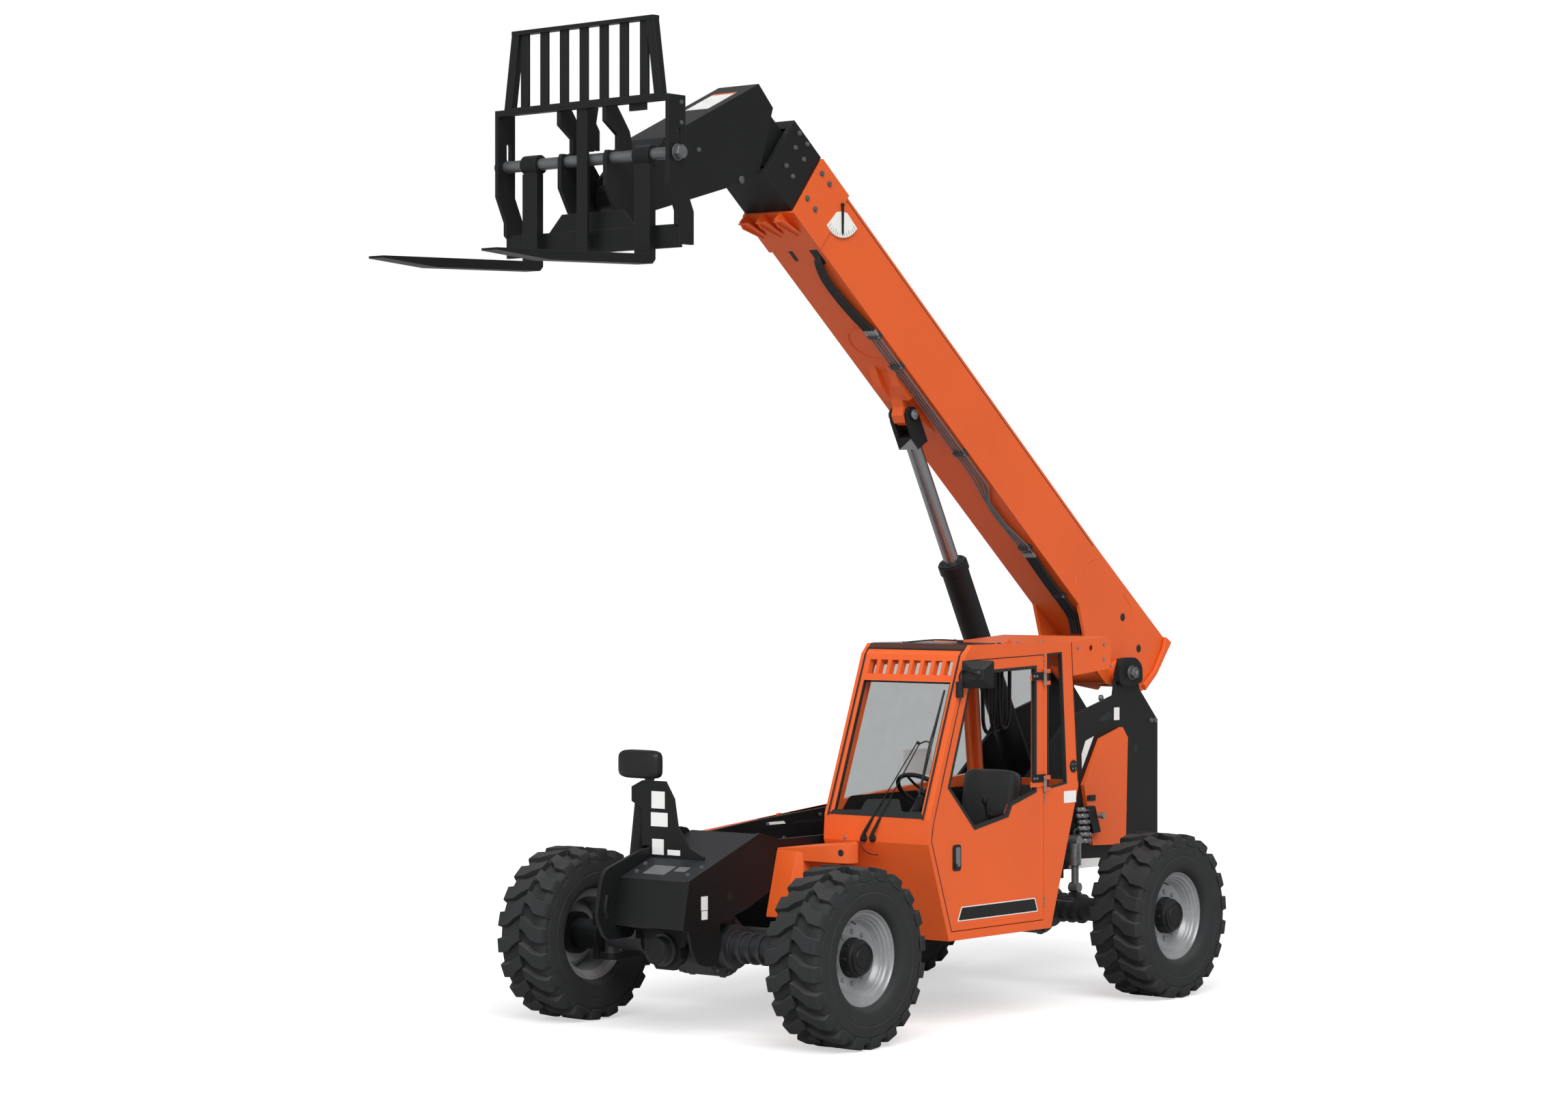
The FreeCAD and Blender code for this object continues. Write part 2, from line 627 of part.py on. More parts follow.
cab_side = S.cab_inner_side - sg
mounts = [box("cab_mount", (x, half - 1, z), (x + S.cab_block_long, cab_side, z + S.cab_block))
          for x in (S.cab_rear_sill_x + 60, S.cab_sill_x - 150)
          for z in (S.cab_floor_z + 40, S.cab_floor_z + 330)]
stab_seat = box("stab_seat", (rear_x - 34, half - 1, S.stab_high_z - 18),
                (rear_x + 34, S.stab_side - 36 - sg, S.stab_high_z + 34))
label("frame_left", fuse("frame_left", left_plate, stab_seat, *mounts))

ear_x = S.ear_front_x - S.ear_slot_back
ear_slot = [rod("ear_slot_end", (ear_x, -half - 1, z), "y", S.ear_slot_radius, S.frame_plate + 2)
            for z in (S.ear_slot_z, S.ear_slot_z + S.ear_slot_long)]
ear_slot.append(box("ear_slot_mid", (ear_x - S.ear_slot_radius, -half - 1, S.ear_slot_z),
                    (ear_x + S.ear_slot_radius, -half + S.frame_plate + 1,
                     S.ear_slot_z + S.ear_slot_long)))
right_plate = slab("right_plate", "XZ", [
    (S.ear_front_x - 13, S.nose_top_z + 28), (S.ear_front_x - 64, S.nose_top_z + 51),
    (S.post_x + 34, S.crest_z - 98), (S.crest_x + 94, S.crest_z + 21),
    (S.crest_x + 40, S.crest_z + 11), (S.crest_x - 22, S.crest_z - 39),
    (S.right_front_x, S.right_front_z), (S.right_rise_x, S.right_rise_z)]
    + tower + [(S.ear_low_x, S.nose_low_z), (S.ear_front_x, S.nose_low_z + 106)],
    -half, -half + S.frame_plate, pivot_bore, tie_bore)
label("frame_right", cut("frame_right", right_plate, *ear_slot))

# between the plates: sloping front deck with the axle's hanger, belly, tower box
fit = inner - sg
deck = slab("deck", "XZ", [
    (S.nose_x, S.nose_top_z - S.deck_drop), (S.crest_x, S.crest_z - S.deck_drop),
    (S.crest_x, S.crest_z - S.deck_drop - S.deck_plate),
    (S.nose_x - S.deck_plate, S.nose_top_z - S.deck_drop - S.deck_plate),
    (S.nose_low_x - S.deck_plate * 2, S.nose_low_z + S.deck_plate),
    (S.chin_x, S.chin_z + 14 + S.deck_plate), (S.chin_x, S.chin_z + 14),
    (S.nose_low_x - 6, S.nose_low_z)], -fit, fit)
hanger = slab("hanger", "YZ", [
    (-S.hanger_half, S.nose_low_z + 20), (-S.hanger_half, S.chin_z + 20),
    (-S.hanger_waist, S.tyre_radius + 20), (-S.hanger_waist, S.tyre_radius - 50),
    (-S.hanger_foot, S.hanger_low_z), (S.hanger_foot, S.hanger_low_z),
    (S.hanger_waist, S.tyre_radius - 50), (S.hanger_waist, S.tyre_radius + 20),
    (S.hanger_half, S.chin_z + 20), (S.hanger_half, S.nose_low_z + 20)],
    S.hanger_x, S.hanger_x + S.hanger_plate,
    ((Size(0, "0"), S.tyre_radius), S.trunnion_radius + sg))
label("front_deck", fuse("front_deck", deck, hanger))
label("belly_floor", box("belly_floor", (S.rear_arch_front_x + 95, -fit, S.belly_z),
                         (S.arch_rear_x - 95, fit, S.belly_z + S.belly_plate)))
rear_wall = box("rear_wall", (S.tower_rear_x + 30, -fit, S.rear_arch_z + 4),
                (S.tower_rear_x + 50, fit, S.tower_corner_z - 260))
rear_floor = box("rear_floor", (S.tower_rear_x + 30, -fit, S.rear_arch_z + 4),
                 (S.rear_arch_front_x + 44, fit, S.rear_arch_z + 24))
saddle = box("rear_saddle", (rear_x - 80, -fit, S.tyre_radius + S.housing_radius + sg),
             (rear_x + 80, fit, S.rear_arch_z + 10))
label("tower_floor", fuse("tower_floor", rear_wall, rear_floor, saddle))

deck_fall = (S.crest_z - S.nose_top_z) / (S.nose_x - S.crest_x)
deck_at_post = S.nose_top_z - S.deck_drop + (S.nose_x - S.post_x) * deck_fall + sg
inside = -fit
label("front_post", slab("front_post", "YZ", [
    (-S.post_outer, S.post_foot_z), (-S.post_outer, S.sway_ear_z - 40),
    (-S.sway_ear, S.sway_ear_z), (-S.sway_ear, S.sway_high_z + 48),
    (-S.post_outer, S.post_top_z), (-S.post_inner, S.post_top_z),
    (-S.post_inner + 70, S.post_top_z - 105), (-S.post_neck, S.post_neck_z),
    (S.post_neck, S.post_foot_z), (S.post_toe, S.post_toe_z),
    (S.post_toe, deck_at_post), (inside, deck_at_post), (inside, S.post_foot_z)],
    S.post_x, S.post_x + S.post_plate))
label("boom_pivot_pin", rod("boom_pivot_pin",
                            (S.pivot_x, -half - 24, S.pivot_z), "y",
                            S.pivot_radius, half * 2 + 48))

# ---------------------------------------------------------------- boom
boom_at = (S.mid_station + S.pivot_x, 0, S.pivot_z)
boom_axis = (0, -1, 0)
bw = S.base_width * HALF
low = S.base_under
high = S.base_under + S.base_height


def square_tube(name, width, height, wall, start, end, centre):
    """Hollow box section that runs along the boom."""
    hw = width * HALF
    hh = height * HALF
    body = slab(name, "YZ", [(-hw, centre - hh), (hw, centre - hh), (hw, centre + hh),
                             (-hw, centre + hh)], start, end,
                [(-hw + wall, centre - hh + wall), (hw - wall, centre - hh + wall),
                 (hw - wall, centre + hh - wall), (-hw + wall, centre + hh - wall)])
    return body


axis_over = low + S.base_height * HALF
base_tube = square_tube("base_tube", S.base_width, S.base_height, S.base_wall,
                        S.base_start, S.base_end, axis_over)
heel_outline = [
    (S.heel_front, low), (S.base_start + 40, low - S.heel_drop * 1.3),
    (S.base_start - 200, low - S.heel_drop * 1.3), (S.heel_end + 40, low),
    (S.heel_end, low + 180), (S.heel_end, high + 40), (S.heel_end + 80, high + 20),
    (S.heel_front, high)]
heel_plates = []
for sign in (1, -1):
    y0 = bw - S.base_wall - 14 if sign == 1 else -bw
    plate = slab("heel_plate", "XZ", heel_outline, y0, y0 + S.base_wall + 14)
    heel_plates.append(plate)
boss = inner - S.running_gap
heel_tube = rod("heel_tube", (0, -boss, 0), "y", S.pivot_radius + 32, boss * 2)
heel_back = box("heel_back", (S.heel_end, -bw, low + 60), (S.heel_end + 16, bw, high + 30))
heel_top = box("heel_top", (S.heel_end + 10, -bw, high - S.base_wall), (S.base_start + 10, bw, high))
collar = cut("collar", box("collar_out", (S.base_end - S.collar_length, -bw - S.collar_swell, low - S.collar_swell),
                           (S.base_end, bw + S.collar_swell, high + S.collar_swell)),
             box("collar_in", (S.base_end - S.collar_length - 1, -bw + S.base_wall, low + S.base_wall),
                 (S.base_end + 1, bw - S.base_wall, high - S.base_wall)))
eye = S.lift_eye_along
lift_lug = slab("lift_lug", "XZ", [
    (eye - 300, low + 1), (eye - 150, S.lift_eye_over + 62), (eye - 75, S.lift_eye_over),
    (eye - 50, S.lift_eye_over - 50), (eye, S.lift_eye_over - 70),
    (eye + 50, S.lift_eye_over - 50), (eye + 75, S.lift_eye_over), (eye + 130, low - 60),
    (eye + 330, low + 1)], -S.lug_half, S.lug_half,
    ((eye, S.lift_eye_over), S.lift_pin_radius + S.seat_gap))
gussets = []
for sign in (1, -1):
    across = sorted([sign * S.lug_half, sign * (S.lug_half + 62)], key=num)
    shell = slab("gusset_out", "XZ", [(eye + 90, low + 1), (eye + 110, low - 66),
                                      (eye + 250, low - 62), (eye + 400, low + 1)],
                 across[0], across[1])
    inside = slab("gusset_in", "XZ", [(eye + 80, low - 8), (eye + 80, low - 56),
                                      (eye + 240, low - 52), (eye + 340, low - 8)],
                  across[0] + 9, across[1] - 9)
    gussets.append(cut("gusset", shell, inside))
strip = box("top_strip", (S.heel_front, -bw + 30, high - 1), (S.base_end - S.collar_length + 1, bw - 30, high + 8))
base_bore = rod("base_bore", (0, -boss - 1, 0), "y", S.pivot_radius + S.seat_gap, boss * 2 + 2)
base_boom = cut("base_boom", fuse("base_boom_solid", base_tube, heel_plates[0], heel_plates[1],
                                  heel_tube, heel_back, heel_top, collar, lift_lug, strip,
                                  *gussets), base_bore)
label("base_boom", base_boom, boom_at, boom_axis, S.boom_angle)

mid_tube = square_tube("mid_tube", S.mid_width, S.mid_height, S.mid_wall, S.mid_start,
                       S.mid_end, axis_over)


def wear_pads(name, start, width, height, room_wide, room_high):
    """Four pads round a tube's rear end that fill the room in the tube outside it."""
    hw = width * HALF
    hh = height * HALF
    ow = room_wide * HALF - S.seat_gap
    oh = room_high * HALF - S.seat_gap
    return [box(name, (start, hw - 1, axis_over - hh * 0.6), (start + 120, ow, axis_over + hh * 0.6)),
            box(name, (start, -ow, axis_over - hh * 0.6), (start + 120, 1 - hw, axis_over + hh * 0.6)),
            box(name, (start, 0 - hw * 0.6, axis_over + hh - 1), (start + 120, hw * 0.6, axis_over + oh)),
            box(name, (start, 0 - hw * 0.6, axis_over - oh), (start + 120, hw * 0.6, axis_over - hh + 1))]


mid_pads = wear_pads("mid_pad", S.mid_start + 60, S.mid_width, S.mid_height,
                     S.base_width - S.base_wall * 2, S.base_height - S.base_wall * 2)
fly_pads = wear_pads("fly_pad", S.fly_start + 40, S.fly_width, S.fly_height,
                     S.mid_width - S.mid_wall * 2, S.mid_height - S.mid_wall * 2)
mw = S.base_width * HALF - 6
mid_collar = cut("mid_collar",
                 box("mid_collar_out", (S.base_end + S.running_gap, -mw, low + 6),
                     (S.mid_end, mw, high + 20)),
                 box("mid_collar_in", (S.base_end, -S.mid_width * HALF + S.mid_wall,
                                       axis_over - S.mid_height * HALF + S.mid_wall),
                     (S.mid_end + 1, S.mid_width * HALF - S.mid_wall,
                      axis_over + S.mid_height * HALF - S.mid_wall)))
label("mid_boom", fuse("mid_boom", mid_tube, mid_collar, *mid_pads), boom_at, boom_axis, S.boom_angle)

fly_tube = square_tube("fly_tube", S.fly_width, S.fly_height, S.fly_wall, S.fly_start,
                       S.mid_end + 160, axis_over)
# the head: a deep tapered box that turns down from the fly section
co = cosine(S.boom_angle)
si = sine(S.boom_angle)


def along(x, z):
    """Truck station and height turned into boom directions."""
    dx = x - S.pivot_x
    dz = z - S.pivot_z
    return dx * co + dz * si, dz * co - dx * si


head_low_x = S.tilt_x + 60
head_outline = [
    (S.mid_end + S.running_gap, low - 40), (S.mid_end + S.running_gap + 170, high - 40),
    (S.mid_end + 370, high - 20), along(S.tilt_x - 190, S.tilt_z + 370),
    along(S.tilt_x + 60, S.tilt_z + 110), along(head_low_x, S.tilt_z - 70),
    along(S.tilt_x - 60, S.tilt_z - 90), (S.mid_end + 110, low - 190)]
head_solid = slab("head_solid", "XZ", head_outline, -S.head_half, S.head_half)


def shrunk(outline, share):
    """Outline drawn in towards the middle of its corners."""
    middle = [sum((p[i] for p in outline[1:]), outline[0][i]) / len(outline) for i in (0, 1)]
    return [(middle[0] + (a - middle[0]) * share, middle[1] + (b - middle[1]) * share)
            for a, b in outline]


tilt_along, tilt_over = along(S.tilt_x, S.tilt_z)
head_void = slab("head_void", "XZ", shrunk(head_outline, 0.93),
                 -S.head_half + S.head_wall, S.head_half - S.head_wall)
head_jaw = slab("head_jaw", "XZ", [
    along(S.tilt_x - 120, S.tilt_z + 470), along(S.tilt_x + 120, S.tilt_z + 470),
    along(S.tilt_x + 120, S.tilt_z - 160), along(S.tilt_x - 120, S.tilt_z - 160)],
    -S.head_half + S.head_wall, S.head_half - S.head_wall)
head_hole = rod("head_hole", (tilt_along, -S.head_half - 1, tilt_over), "y",
                S.tilt_pin_radius + S.seat_gap, S.head_half * 2 + 2)
head = cut("head", head_solid, head_void, head_jaw, head_hole)
label("fly_boom", fuse("fly_boom", fly_tube, head, *fly_pads), boom_at, boom_axis, S.boom_angle)

# ---------------------------------------------------------------- lift cylinder
foot = (S.lift_foot_x, S.lift_foot_z)
eye_x = S.pivot_x + S.lift_eye_along * co - S.lift_eye_over * si
eye_z = S.pivot_z + S.lift_eye_along * si + S.lift_eye_over * co
run = eye_x - S.lift_foot_x
rise = eye_z - S.lift_foot_z
lift_length = root(run * run + rise * rise)
lift_angle = bearing(rise, run)
eye_at = (S.mid_station + eye_x, 0, eye_z)
# both halves are drawn from the rod's eye; the foot lies behind it at -lift_length
barrel_end = S.lift_barrel_length - lift_length
barrel = fuse("barrel_solid",
              rod("barrel_tube", (-lift_length + S.lift_pin_radius + 10, 0, 0), "x",
                  S.lift_barrel_radius, S.lift_barrel_length - S.lift_pin_radius - 10),
              rod("barrel_gland", (barrel_end - 70, 0, 0), "x", S.lift_barrel_radius + 9,
                  Size(58, "58")),
              rod("barrel_eye", (-lift_length, -60, 0), "y", S.lift_pin_radius + 34,
                  Size(120, "120")))
barrel_bore_at = -S.lift_rod_length - 60
barrel_cut = cut("lift_barrel", barrel,
                 rod("barrel_bore", (barrel_end - S.lift_rod_length + 360, 0, 0), "x",
                     S.lift_rod_radius + 1, S.lift_rod_length - 300),
                 rod("barrel_pin_bore", (-lift_length, -61, 0), "y",
                     S.lift_pin_radius + S.seat_gap, Size(122, "122")))
label("lift_barrel", barrel_cut, eye_at, boom_axis, lift_angle)
stub = inner - 120 - S.seat_gap
foot_pins = [rod("foot_stub", (S.lift_foot_x, y, S.lift_foot_z), "y", S.lift_pin_radius, stub)
             for y in (Size(120, "120"), 0 - inner + S.seat_gap)]
label("lift_foot_pins", group("lift_foot_pins", *foot_pins))
clevis_out = S.lug_half + S.cheek_gap + S.cheek_thickness
block_at = -S.clevis_back - S.clevis_block
rod_parts = [rod("rod_bar", (-S.lift_rod_length, 0, 0), "x", S.lift_rod_radius,
                 S.lift_rod_length - S.clevis_back - 10),
             box("rod_block", (block_at, -clevis_out, -S.clevis_half),
                 (-S.clevis_back, clevis_out, S.clevis_half))]
for sign in (1, -1):
    y0 = S.lug_half + S.cheek_gap if sign == 1 else -clevis_out
    rod_parts.append(slab("cheek", "XZ", [
        (-S.clevis_back - 5, -S.clevis_half), (0 - S.clevis_half * 0.4, -S.clevis_half),
        (S.clevis_half * 0.5, -S.clevis_half * 0.75), (S.clevis_half * 0.85, -S.clevis_half * 0.25),
        (S.clevis_half * 0.85, S.clevis_half * 0.25), (S.clevis_half * 0.5, S.clevis_half * 0.75),
        (0 - S.clevis_half * 0.4, S.clevis_half), (-S.clevis_back - 5, S.clevis_half)],
        y0, y0 + S.cheek_thickness))
rod_parts.append(rod("rod_pin", (0, -clevis_out - 14, 0), "y", S.lift_pin_radius,
                     clevis_out * 2 + 28))
label("lift_rod", fuse("lift_rod", *rod_parts), eye_at, boom_axis, lift_angle)

# ---------------------------------------------------------------- carriage
# the tilt pin carries a round hub between the head's cheeks, turned by the levelling gear
cw = S.carriage_width * HALF
tp = S.plate_thickness
hook_in = S.head_half + S.running_gap
pin_half = hook_in + S.hook_plate + 16
hub_half = S.head_half - S.head_wall - S.running_gap
label("tilt_pin", fuse("tilt_pin",
                       rod("tilt_bar", (S.tilt_x, -pin_half, S.tilt_z), "y",
                           S.tilt_pin_radius, pin_half * 2),
                       rod("tilt_hub", (S.tilt_x, -hub_half, S.tilt_z), "y",
                           S.tilt_hub_radius, hub_half * 2)))
rx = S.carriage_rear_x
fx = S.carriage_front_x
fork_face = S.fork_back_x - sg
shaft_bore = ((S.shaft_x, S.shaft_z), S.shaft_radius + sg)
side_plates = []
for sign in (1, -1):
    y0 = cw - tp if sign == 1 else -cw
    plate = slab("carriage_side", "XZ", [
        (rx, S.carriage_top_z), (fx, S.carriage_top_z), (fx, S.plate_bend_z),
        (fx - 74, S.plate_knee_z), (fx - 74, S.bar_high_z), (fork_face, S.bar_high_z - 20),
        (fork_face, S.carriage_low_z), (S.plate_low_rear_x, S.carriage_low_z),
        (S.plate_low_rear_x, S.plate_knee_z), (rx, S.plate_bend_z)], y0, y0 + tp, shaft_bore)
    slot = [rod("side_slot_end", (S.shaft_x - 18, y0 - 1, z), "y", S.slot_radius, tp + 2)
            for z in (S.slot_low_z, S.slot_top_z)]
    slot.append(box("side_slot_mid", (S.shaft_x - 18 - S.slot_radius, y0 - 1, S.slot_low_z),
                    (S.shaft_x - 18 + S.slot_radius, y0 + tp + 1, S.slot_top_z)))
    side_plates.append(cut("carriage_side_cut", plate, *slot))
top_rail = box("carriage_rail", (fx - S.rail_deep, -cw + 1, S.carriage_top_z - S.rail_high),
               (fx, cw - 1, S.carriage_top_z))
low_bar = box("carriage_low", (fork_face - tp, -cw + 1, S.bar_low_z),
              (fork_face, cw - 1, S.bar_high_z))
web = slab("carriage_web", "YZ", [
    (-S.web_foot_half, S.bar_high_z - 5), (S.web_foot_half, S.bar_high_z - 5),
    (S.web_half, S.web_top_z), (-S.web_half, S.web_top_z)], fork_face - tp, fork_face - 4)
hooks = []
for y in (hook_in, -hook_in - S.hook_plate):
    hooks.append(slab("hook", "XZ", [
        (fx - 110, S.carriage_top_z - 20), (fx - 10, S.carriage_top_z - 20),
        (fx - 10, S.carriage_top_z - 122), (fx - 120, S.shaft_z + 140),
        (fx - 120, S.shaft_z + 58), (S.shaft_x - 20, S.shaft_z + 46),
        (S.shaft_x + 46, S.shaft_z + 46), (fx - 16, S.shaft_z + 14),
        (fx - 16, S.plate_bend_z + 24), (fork_face - tp + 2, S.web_top_z - 30),
        (fork_face - tp + 2, S.bar_low_z + 30), (S.tilt_x + 90, S.tilt_z - 130),
        (S.tilt_x - 30, S.tilt_z - 76), (S.tilt_x - 70, S.tilt_z),
        (S.tilt_x - 30, S.tilt_z + 76), (S.tilt_x + 130, S.shaft_z + 60),
        (S.tilt_x + 160, S.shaft_z + 170)],
        y, y + S.hook_plate, ((S.tilt_x, S.tilt_z), S.tilt_pin_radius + sg), shaft_bore))
# the slotted strap stands in front of the shaft and keeps the forks apart
strap_x = S.shaft_x + S.shaft_radius + 6
strap = box("strap_bar", (strap_x, -S.strap_half, S.strap_low_z),
            (strap_x + 20, S.strap_half, S.carriage_top_z - S.rail_high * HALF))
strap_end = rod("strap_end", (strap_x, 0, S.strap_low_z), "x", S.strap_half, Size(20, "20"))
strap_foot = box("strap_foot", (fork_face - 4, -S.strap_half * 0.6, S.strap_low_z),
                 (strap_x + 1, S.strap_half * 0.6, S.bar_high_z - 20))
strap_head = slab("strap_head", "XZ", [
    (rx, S.carriage_top_z - 20), (strap_x + 1, S.carriage_top_z - 20), (strap_x + 1, S.shaft_z + 60),
    (rx - 10, S.shaft_z + 60), (rx - 10, S.carriage_top_z - 160), (rx + 20, S.carriage_top_z - 116)],
    -tp * HALF, tp * HALF,
    [(S.shaft_x - 34, S.slot_low_z), (S.shaft_x - 4, S.slot_low_z),
     (S.shaft_x - 4, S.slot_top_z), (S.shaft_x - 34, S.slot_top_z)])
tab = box("rail_tab", (fx - S.rail_deep, S.web_foot_half + 16, S.carriage_top_z - S.rail_high - 42),
          (fx - S.rail_deep + 18, S.web_foot_half + 146, S.carriage_top_z - S.rail_high + 2))
label("fork_carriage", fuse("fork_carriage", side_plates[0], side_plates[1], top_rail,
                            low_bar, web, strap, strap_end, strap_foot, strap_head, tab, *hooks))
label("fork_shaft", rod("fork_shaft", (S.shaft_x, -cw - S.shaft_overhang, S.shaft_z), "y",
                        S.shaft_radius, (cw + S.shaft_overhang) * 2))
bars = []
brw = S.backrest_width * HALF
foot_z = S.carriage_top_z + sg
for k in range(int(S.bar_count.value)):
    pitch = (S.backrest_width - S.bar_wide * 3) / (S.bar_count - 1)
    y = 0 - brw + S.bar_wide + pitch * k
    bars.append(box("bar", (S.backrest_x + 18, y, foot_z + 1),
                    (S.backrest_x + 18 + S.bar_deep, y + S.bar_wide, S.backrest_top_z - 20)))
bars.append(box("bar_top", (S.backrest_x, -brw, S.backrest_top_z - 24),
                (S.backrest_x + 56, brw, S.backrest_top_z)))
bars.append(box("bar_foot", (S.backrest_x + 4, -S.backrest_foot * HALF, foot_z),
                (S.backrest_x + 52, S.backrest_foot * HALF, foot_z + 10)))
for sign in (1, -1):
    bars.append(slab("bar_end", "YZ", [
        (sign * (brw - S.bar_wide), S.backrest_top_z - 10), (sign * brw, S.backrest_top_z - 10),
        (sign * S.backrest_foot * HALF, foot_z + 1),
        (sign * (S.backrest_foot * HALF - S.bar_wide), foot_z + 1)],
        S.backrest_x + 4, S.backrest_x + 52))
label("backrest", fuse("backrest", *bars))
# forks: upright shank hung from the shaft by its ring, tine sloping down and tapering
bx = S.fork_back_x
fall = sine(S.fork_slope) / cosine(S.fork_slope)
top_z = S.fork_heel_z + S.fork_thickness
for side, sign in (("left", 1), ("right", -1)):
    yc = sign * S.fork_side
    y0 = yc - S.fork_width * HALF
    fork = slab("fork_%s_body" % side, "XZ", [
        (bx, S.shaft_z - 56), (bx + S.fork_thickness, S.shaft_z - 56),
        (bx + S.fork_thickness, top_z),
        (bx + S.fork_length, top_z - (S.fork_length - S.fork_thickness) * fall),
        (bx + S.fork_length, top_z - (S.fork_length - S.fork_thickness) * fall - 14),
        (bx + S.fork_taper, S.fork_heel_z - S.fork_taper * fall),
        (bx + 26, S.fork_heel_z), (bx, S.fork_heel_z + 26)], y0, y0 + S.fork_width)
    neck = slab("fork_%s_neck" % side, "XZ", [
        (bx + 4, S.shaft_z - 50), (bx + S.fork_thickness - 4, S.shaft_z - 58),
        (S.shaft_x + S.ring_radius * 0.8, S.shaft_z), (S.shaft_x - S.ring_radius * 0.8, S.shaft_z)],
        y0 + 8, y0 + S.fork_width - 8)
    ring = rod("fork_ring", (S.shaft_x, y0, S.shaft_z), "y", S.ring_radius, S.fork_width)
    bore = rod("fork_%s_bore" % side, (S.shaft_x, y0 - 1, S.shaft_z), "y",
               S.shaft_radius + 1, S.fork_width + 2)
    label("fork_%s" % side, cut("fork_%s" % side, fuse("fork_%s_solid" % side, fork, neck, ring), bore))

# ---------------------------------------------------------------- cab
wall = S.cab_wall
ya = S.cab_inner_side
yb = S.cab_outer_side
cab_outline = [
    (S.cab_rear_sill_x, S.cab_floor_z), (S.cab_sill_x, S.cab_floor_z),
    (S.cab_nose_x, S.cab_nose_z), (S.cab_nose_x - 8, S.cowl_z),
    (S.cab_roof_front_x, S.cab_roof_front_z), (S.cab_roof_front_x - 60, S.cab_roof_z),
    (S.cab_roof_rear_x, S.cab_roof_z), (S.cab_rear_kink_x, S.cab_rear_kink_z)]
inner_outline = [
    (S.cab_rear_sill_x + wall * 0.8, S.cab_floor_z + wall), (S.cab_sill_x - wall * 0.8, S.cab_floor_z + wall),
    (S.cab_nose_x - wall, S.cab_nose_z), (S.cab_nose_x - 8 - wall, S.cowl_z),
    (S.cab_roof_front_x - wall, S.cab_roof_front_z - wall * 0.5), (S.cab_roof_front_x - 60 - wall * 0.4, S.cab_roof_z - wall),
    (S.cab_roof_rear_x + wall, S.cab_roof_z - wall), (S.cab_rear_kink_x + wall, S.cab_rear_kink_z)]
cab_solid = slab("cab_solid", "XZ", cab_outline, ya, yb)
cab_void = slab("cab_void", "XZ", inner_outline, ya + wall, yb - wall)
pillar = S.pillar
slope_dx = (S.cab_roof_front_x - S.cab_nose_x + 8) / (S.cab_roof_front_z - S.cowl_z)


def front_at(z):
    """Station of the windscreen plane at a height."""
    return S.cab_nose_x - 8 + slope_dx * (z - S.cowl_z)


screen_low = S.cowl_z + 14
screen_cut = slab("screen_cut", "XZ", [
    (front_at(screen_low) + 30, screen_low), (front_at(screen_low) - wall * 2, screen_low),
    (front_at(S.visor_low_z) - wall * 2, S.visor_low_z), (front_at(S.visor_low_z) + 30, S.visor_low_z)],
    ya + pillar, yb - pillar)
roof_cut = box("roof_cut", (S.cab_roof_rear_x + 520, ya + pillar, S.cab_roof_z - wall - 10),
               (S.cab_roof_front_x - 130, yb - pillar, S.cab_roof_z + 10))
rear_cut = box("rear_cut", (S.cab_rear_kink_x - 40, ya + pillar, S.cab_rear_kink_z + 40),
               (S.cab_roof_rear_x + wall + 20, yb - pillar, S.cab_roof_z - 160))
door_outline = [
    (S.hinge_x, S.cab_floor_z + 60), (S.cab_sill_x - 30, S.cab_floor_z + 60),
    (S.cab_nose_x - 36, S.cab_nose_z + 20), (front_at(S.cab_nose_z + 120) - 48, S.cab_nose_z + 120),
    (front_at(S.cab_roof_z - 100) - 48, S.cab_roof_z - 100), (S.hinge_x, S.cab_roof_z - 80)]
g = S.door_gap
door_hole_outline = [
    (S.hinge_x - g, S.cab_floor_z + 60 - g), (S.cab_sill_x - 30 + g, S.cab_floor_z + 60 - g),
    (S.cab_nose_x - 36 + g, S.cab_nose_z + 20), (front_at(S.cab_nose_z + 120) - 48 + g, S.cab_nose_z + 120),
    (front_at(S.cab_roof_z - 100) - 48 + g, S.cab_roof_z - 100 + g), (S.hinge_x - g, S.cab_roof_z - 80 + g)]
door_hole = slab("door_hole", "XZ", door_hole_outline, yb - wall - 1, yb + 1)
quarter_cut = slab("quarter_cut", "XZ", [
    (S.hinge_x - 40, S.cab_rear_kink_z), (S.hinge_x - 40, S.cab_roof_z - 70),
    (S.cab_roof_rear_x + 40, S.cab_roof_z - 60), (S.cab_rear_kink_x + 50, S.cab_rear_kink_z + 30)],
    yb - wall - 1, yb + 1)
right_cut = slab("right_cut", "XZ", [
    (S.cab_rear_kink_x + 90, S.cab_rear_kink_z + 60), (S.cab_nose_x - 150, S.cab_rear_kink_z - 40),
    (front_at(S.cab_roof_z - 140) - 120, S.cab_roof_z - 140), (S.cab_roof_rear_x + 80, S.cab_roof_z - 140)],
    ya - 1, ya + wall + 1)
slots = []
for k in range(8):
    y = ya + pillar + (yb - ya - pillar * 2) / 8 * k + 14
    slots.append(slab("visor_slot", "XZ", [
        (front_at(S.visor_low_z + 40) + 30, S.visor_low_z + 40),
        (front_at(S.visor_low_z + 40) - wall * 2, S.visor_low_z + 40),
        (front_at(S.visor_low_z + 130) - wall * 2, S.visor_low_z + 130),
        (front_at(S.visor_low_z + 130) + 30, S.visor_low_z + 130)],
        y, y + (yb - ya - pillar * 2) / 8 - 28))
cab_shell = cut("cab_shell", cab_solid, cab_void, screen_cut, roof_cut, rear_cut, door_hole,
                quarter_cut, right_cut, *slots)
# hinge leaves and knuckles: the shell's knuckles stand above and below the door's
axis_y = yb + S.door_axis
leaf_out = yb + S.strap_plate


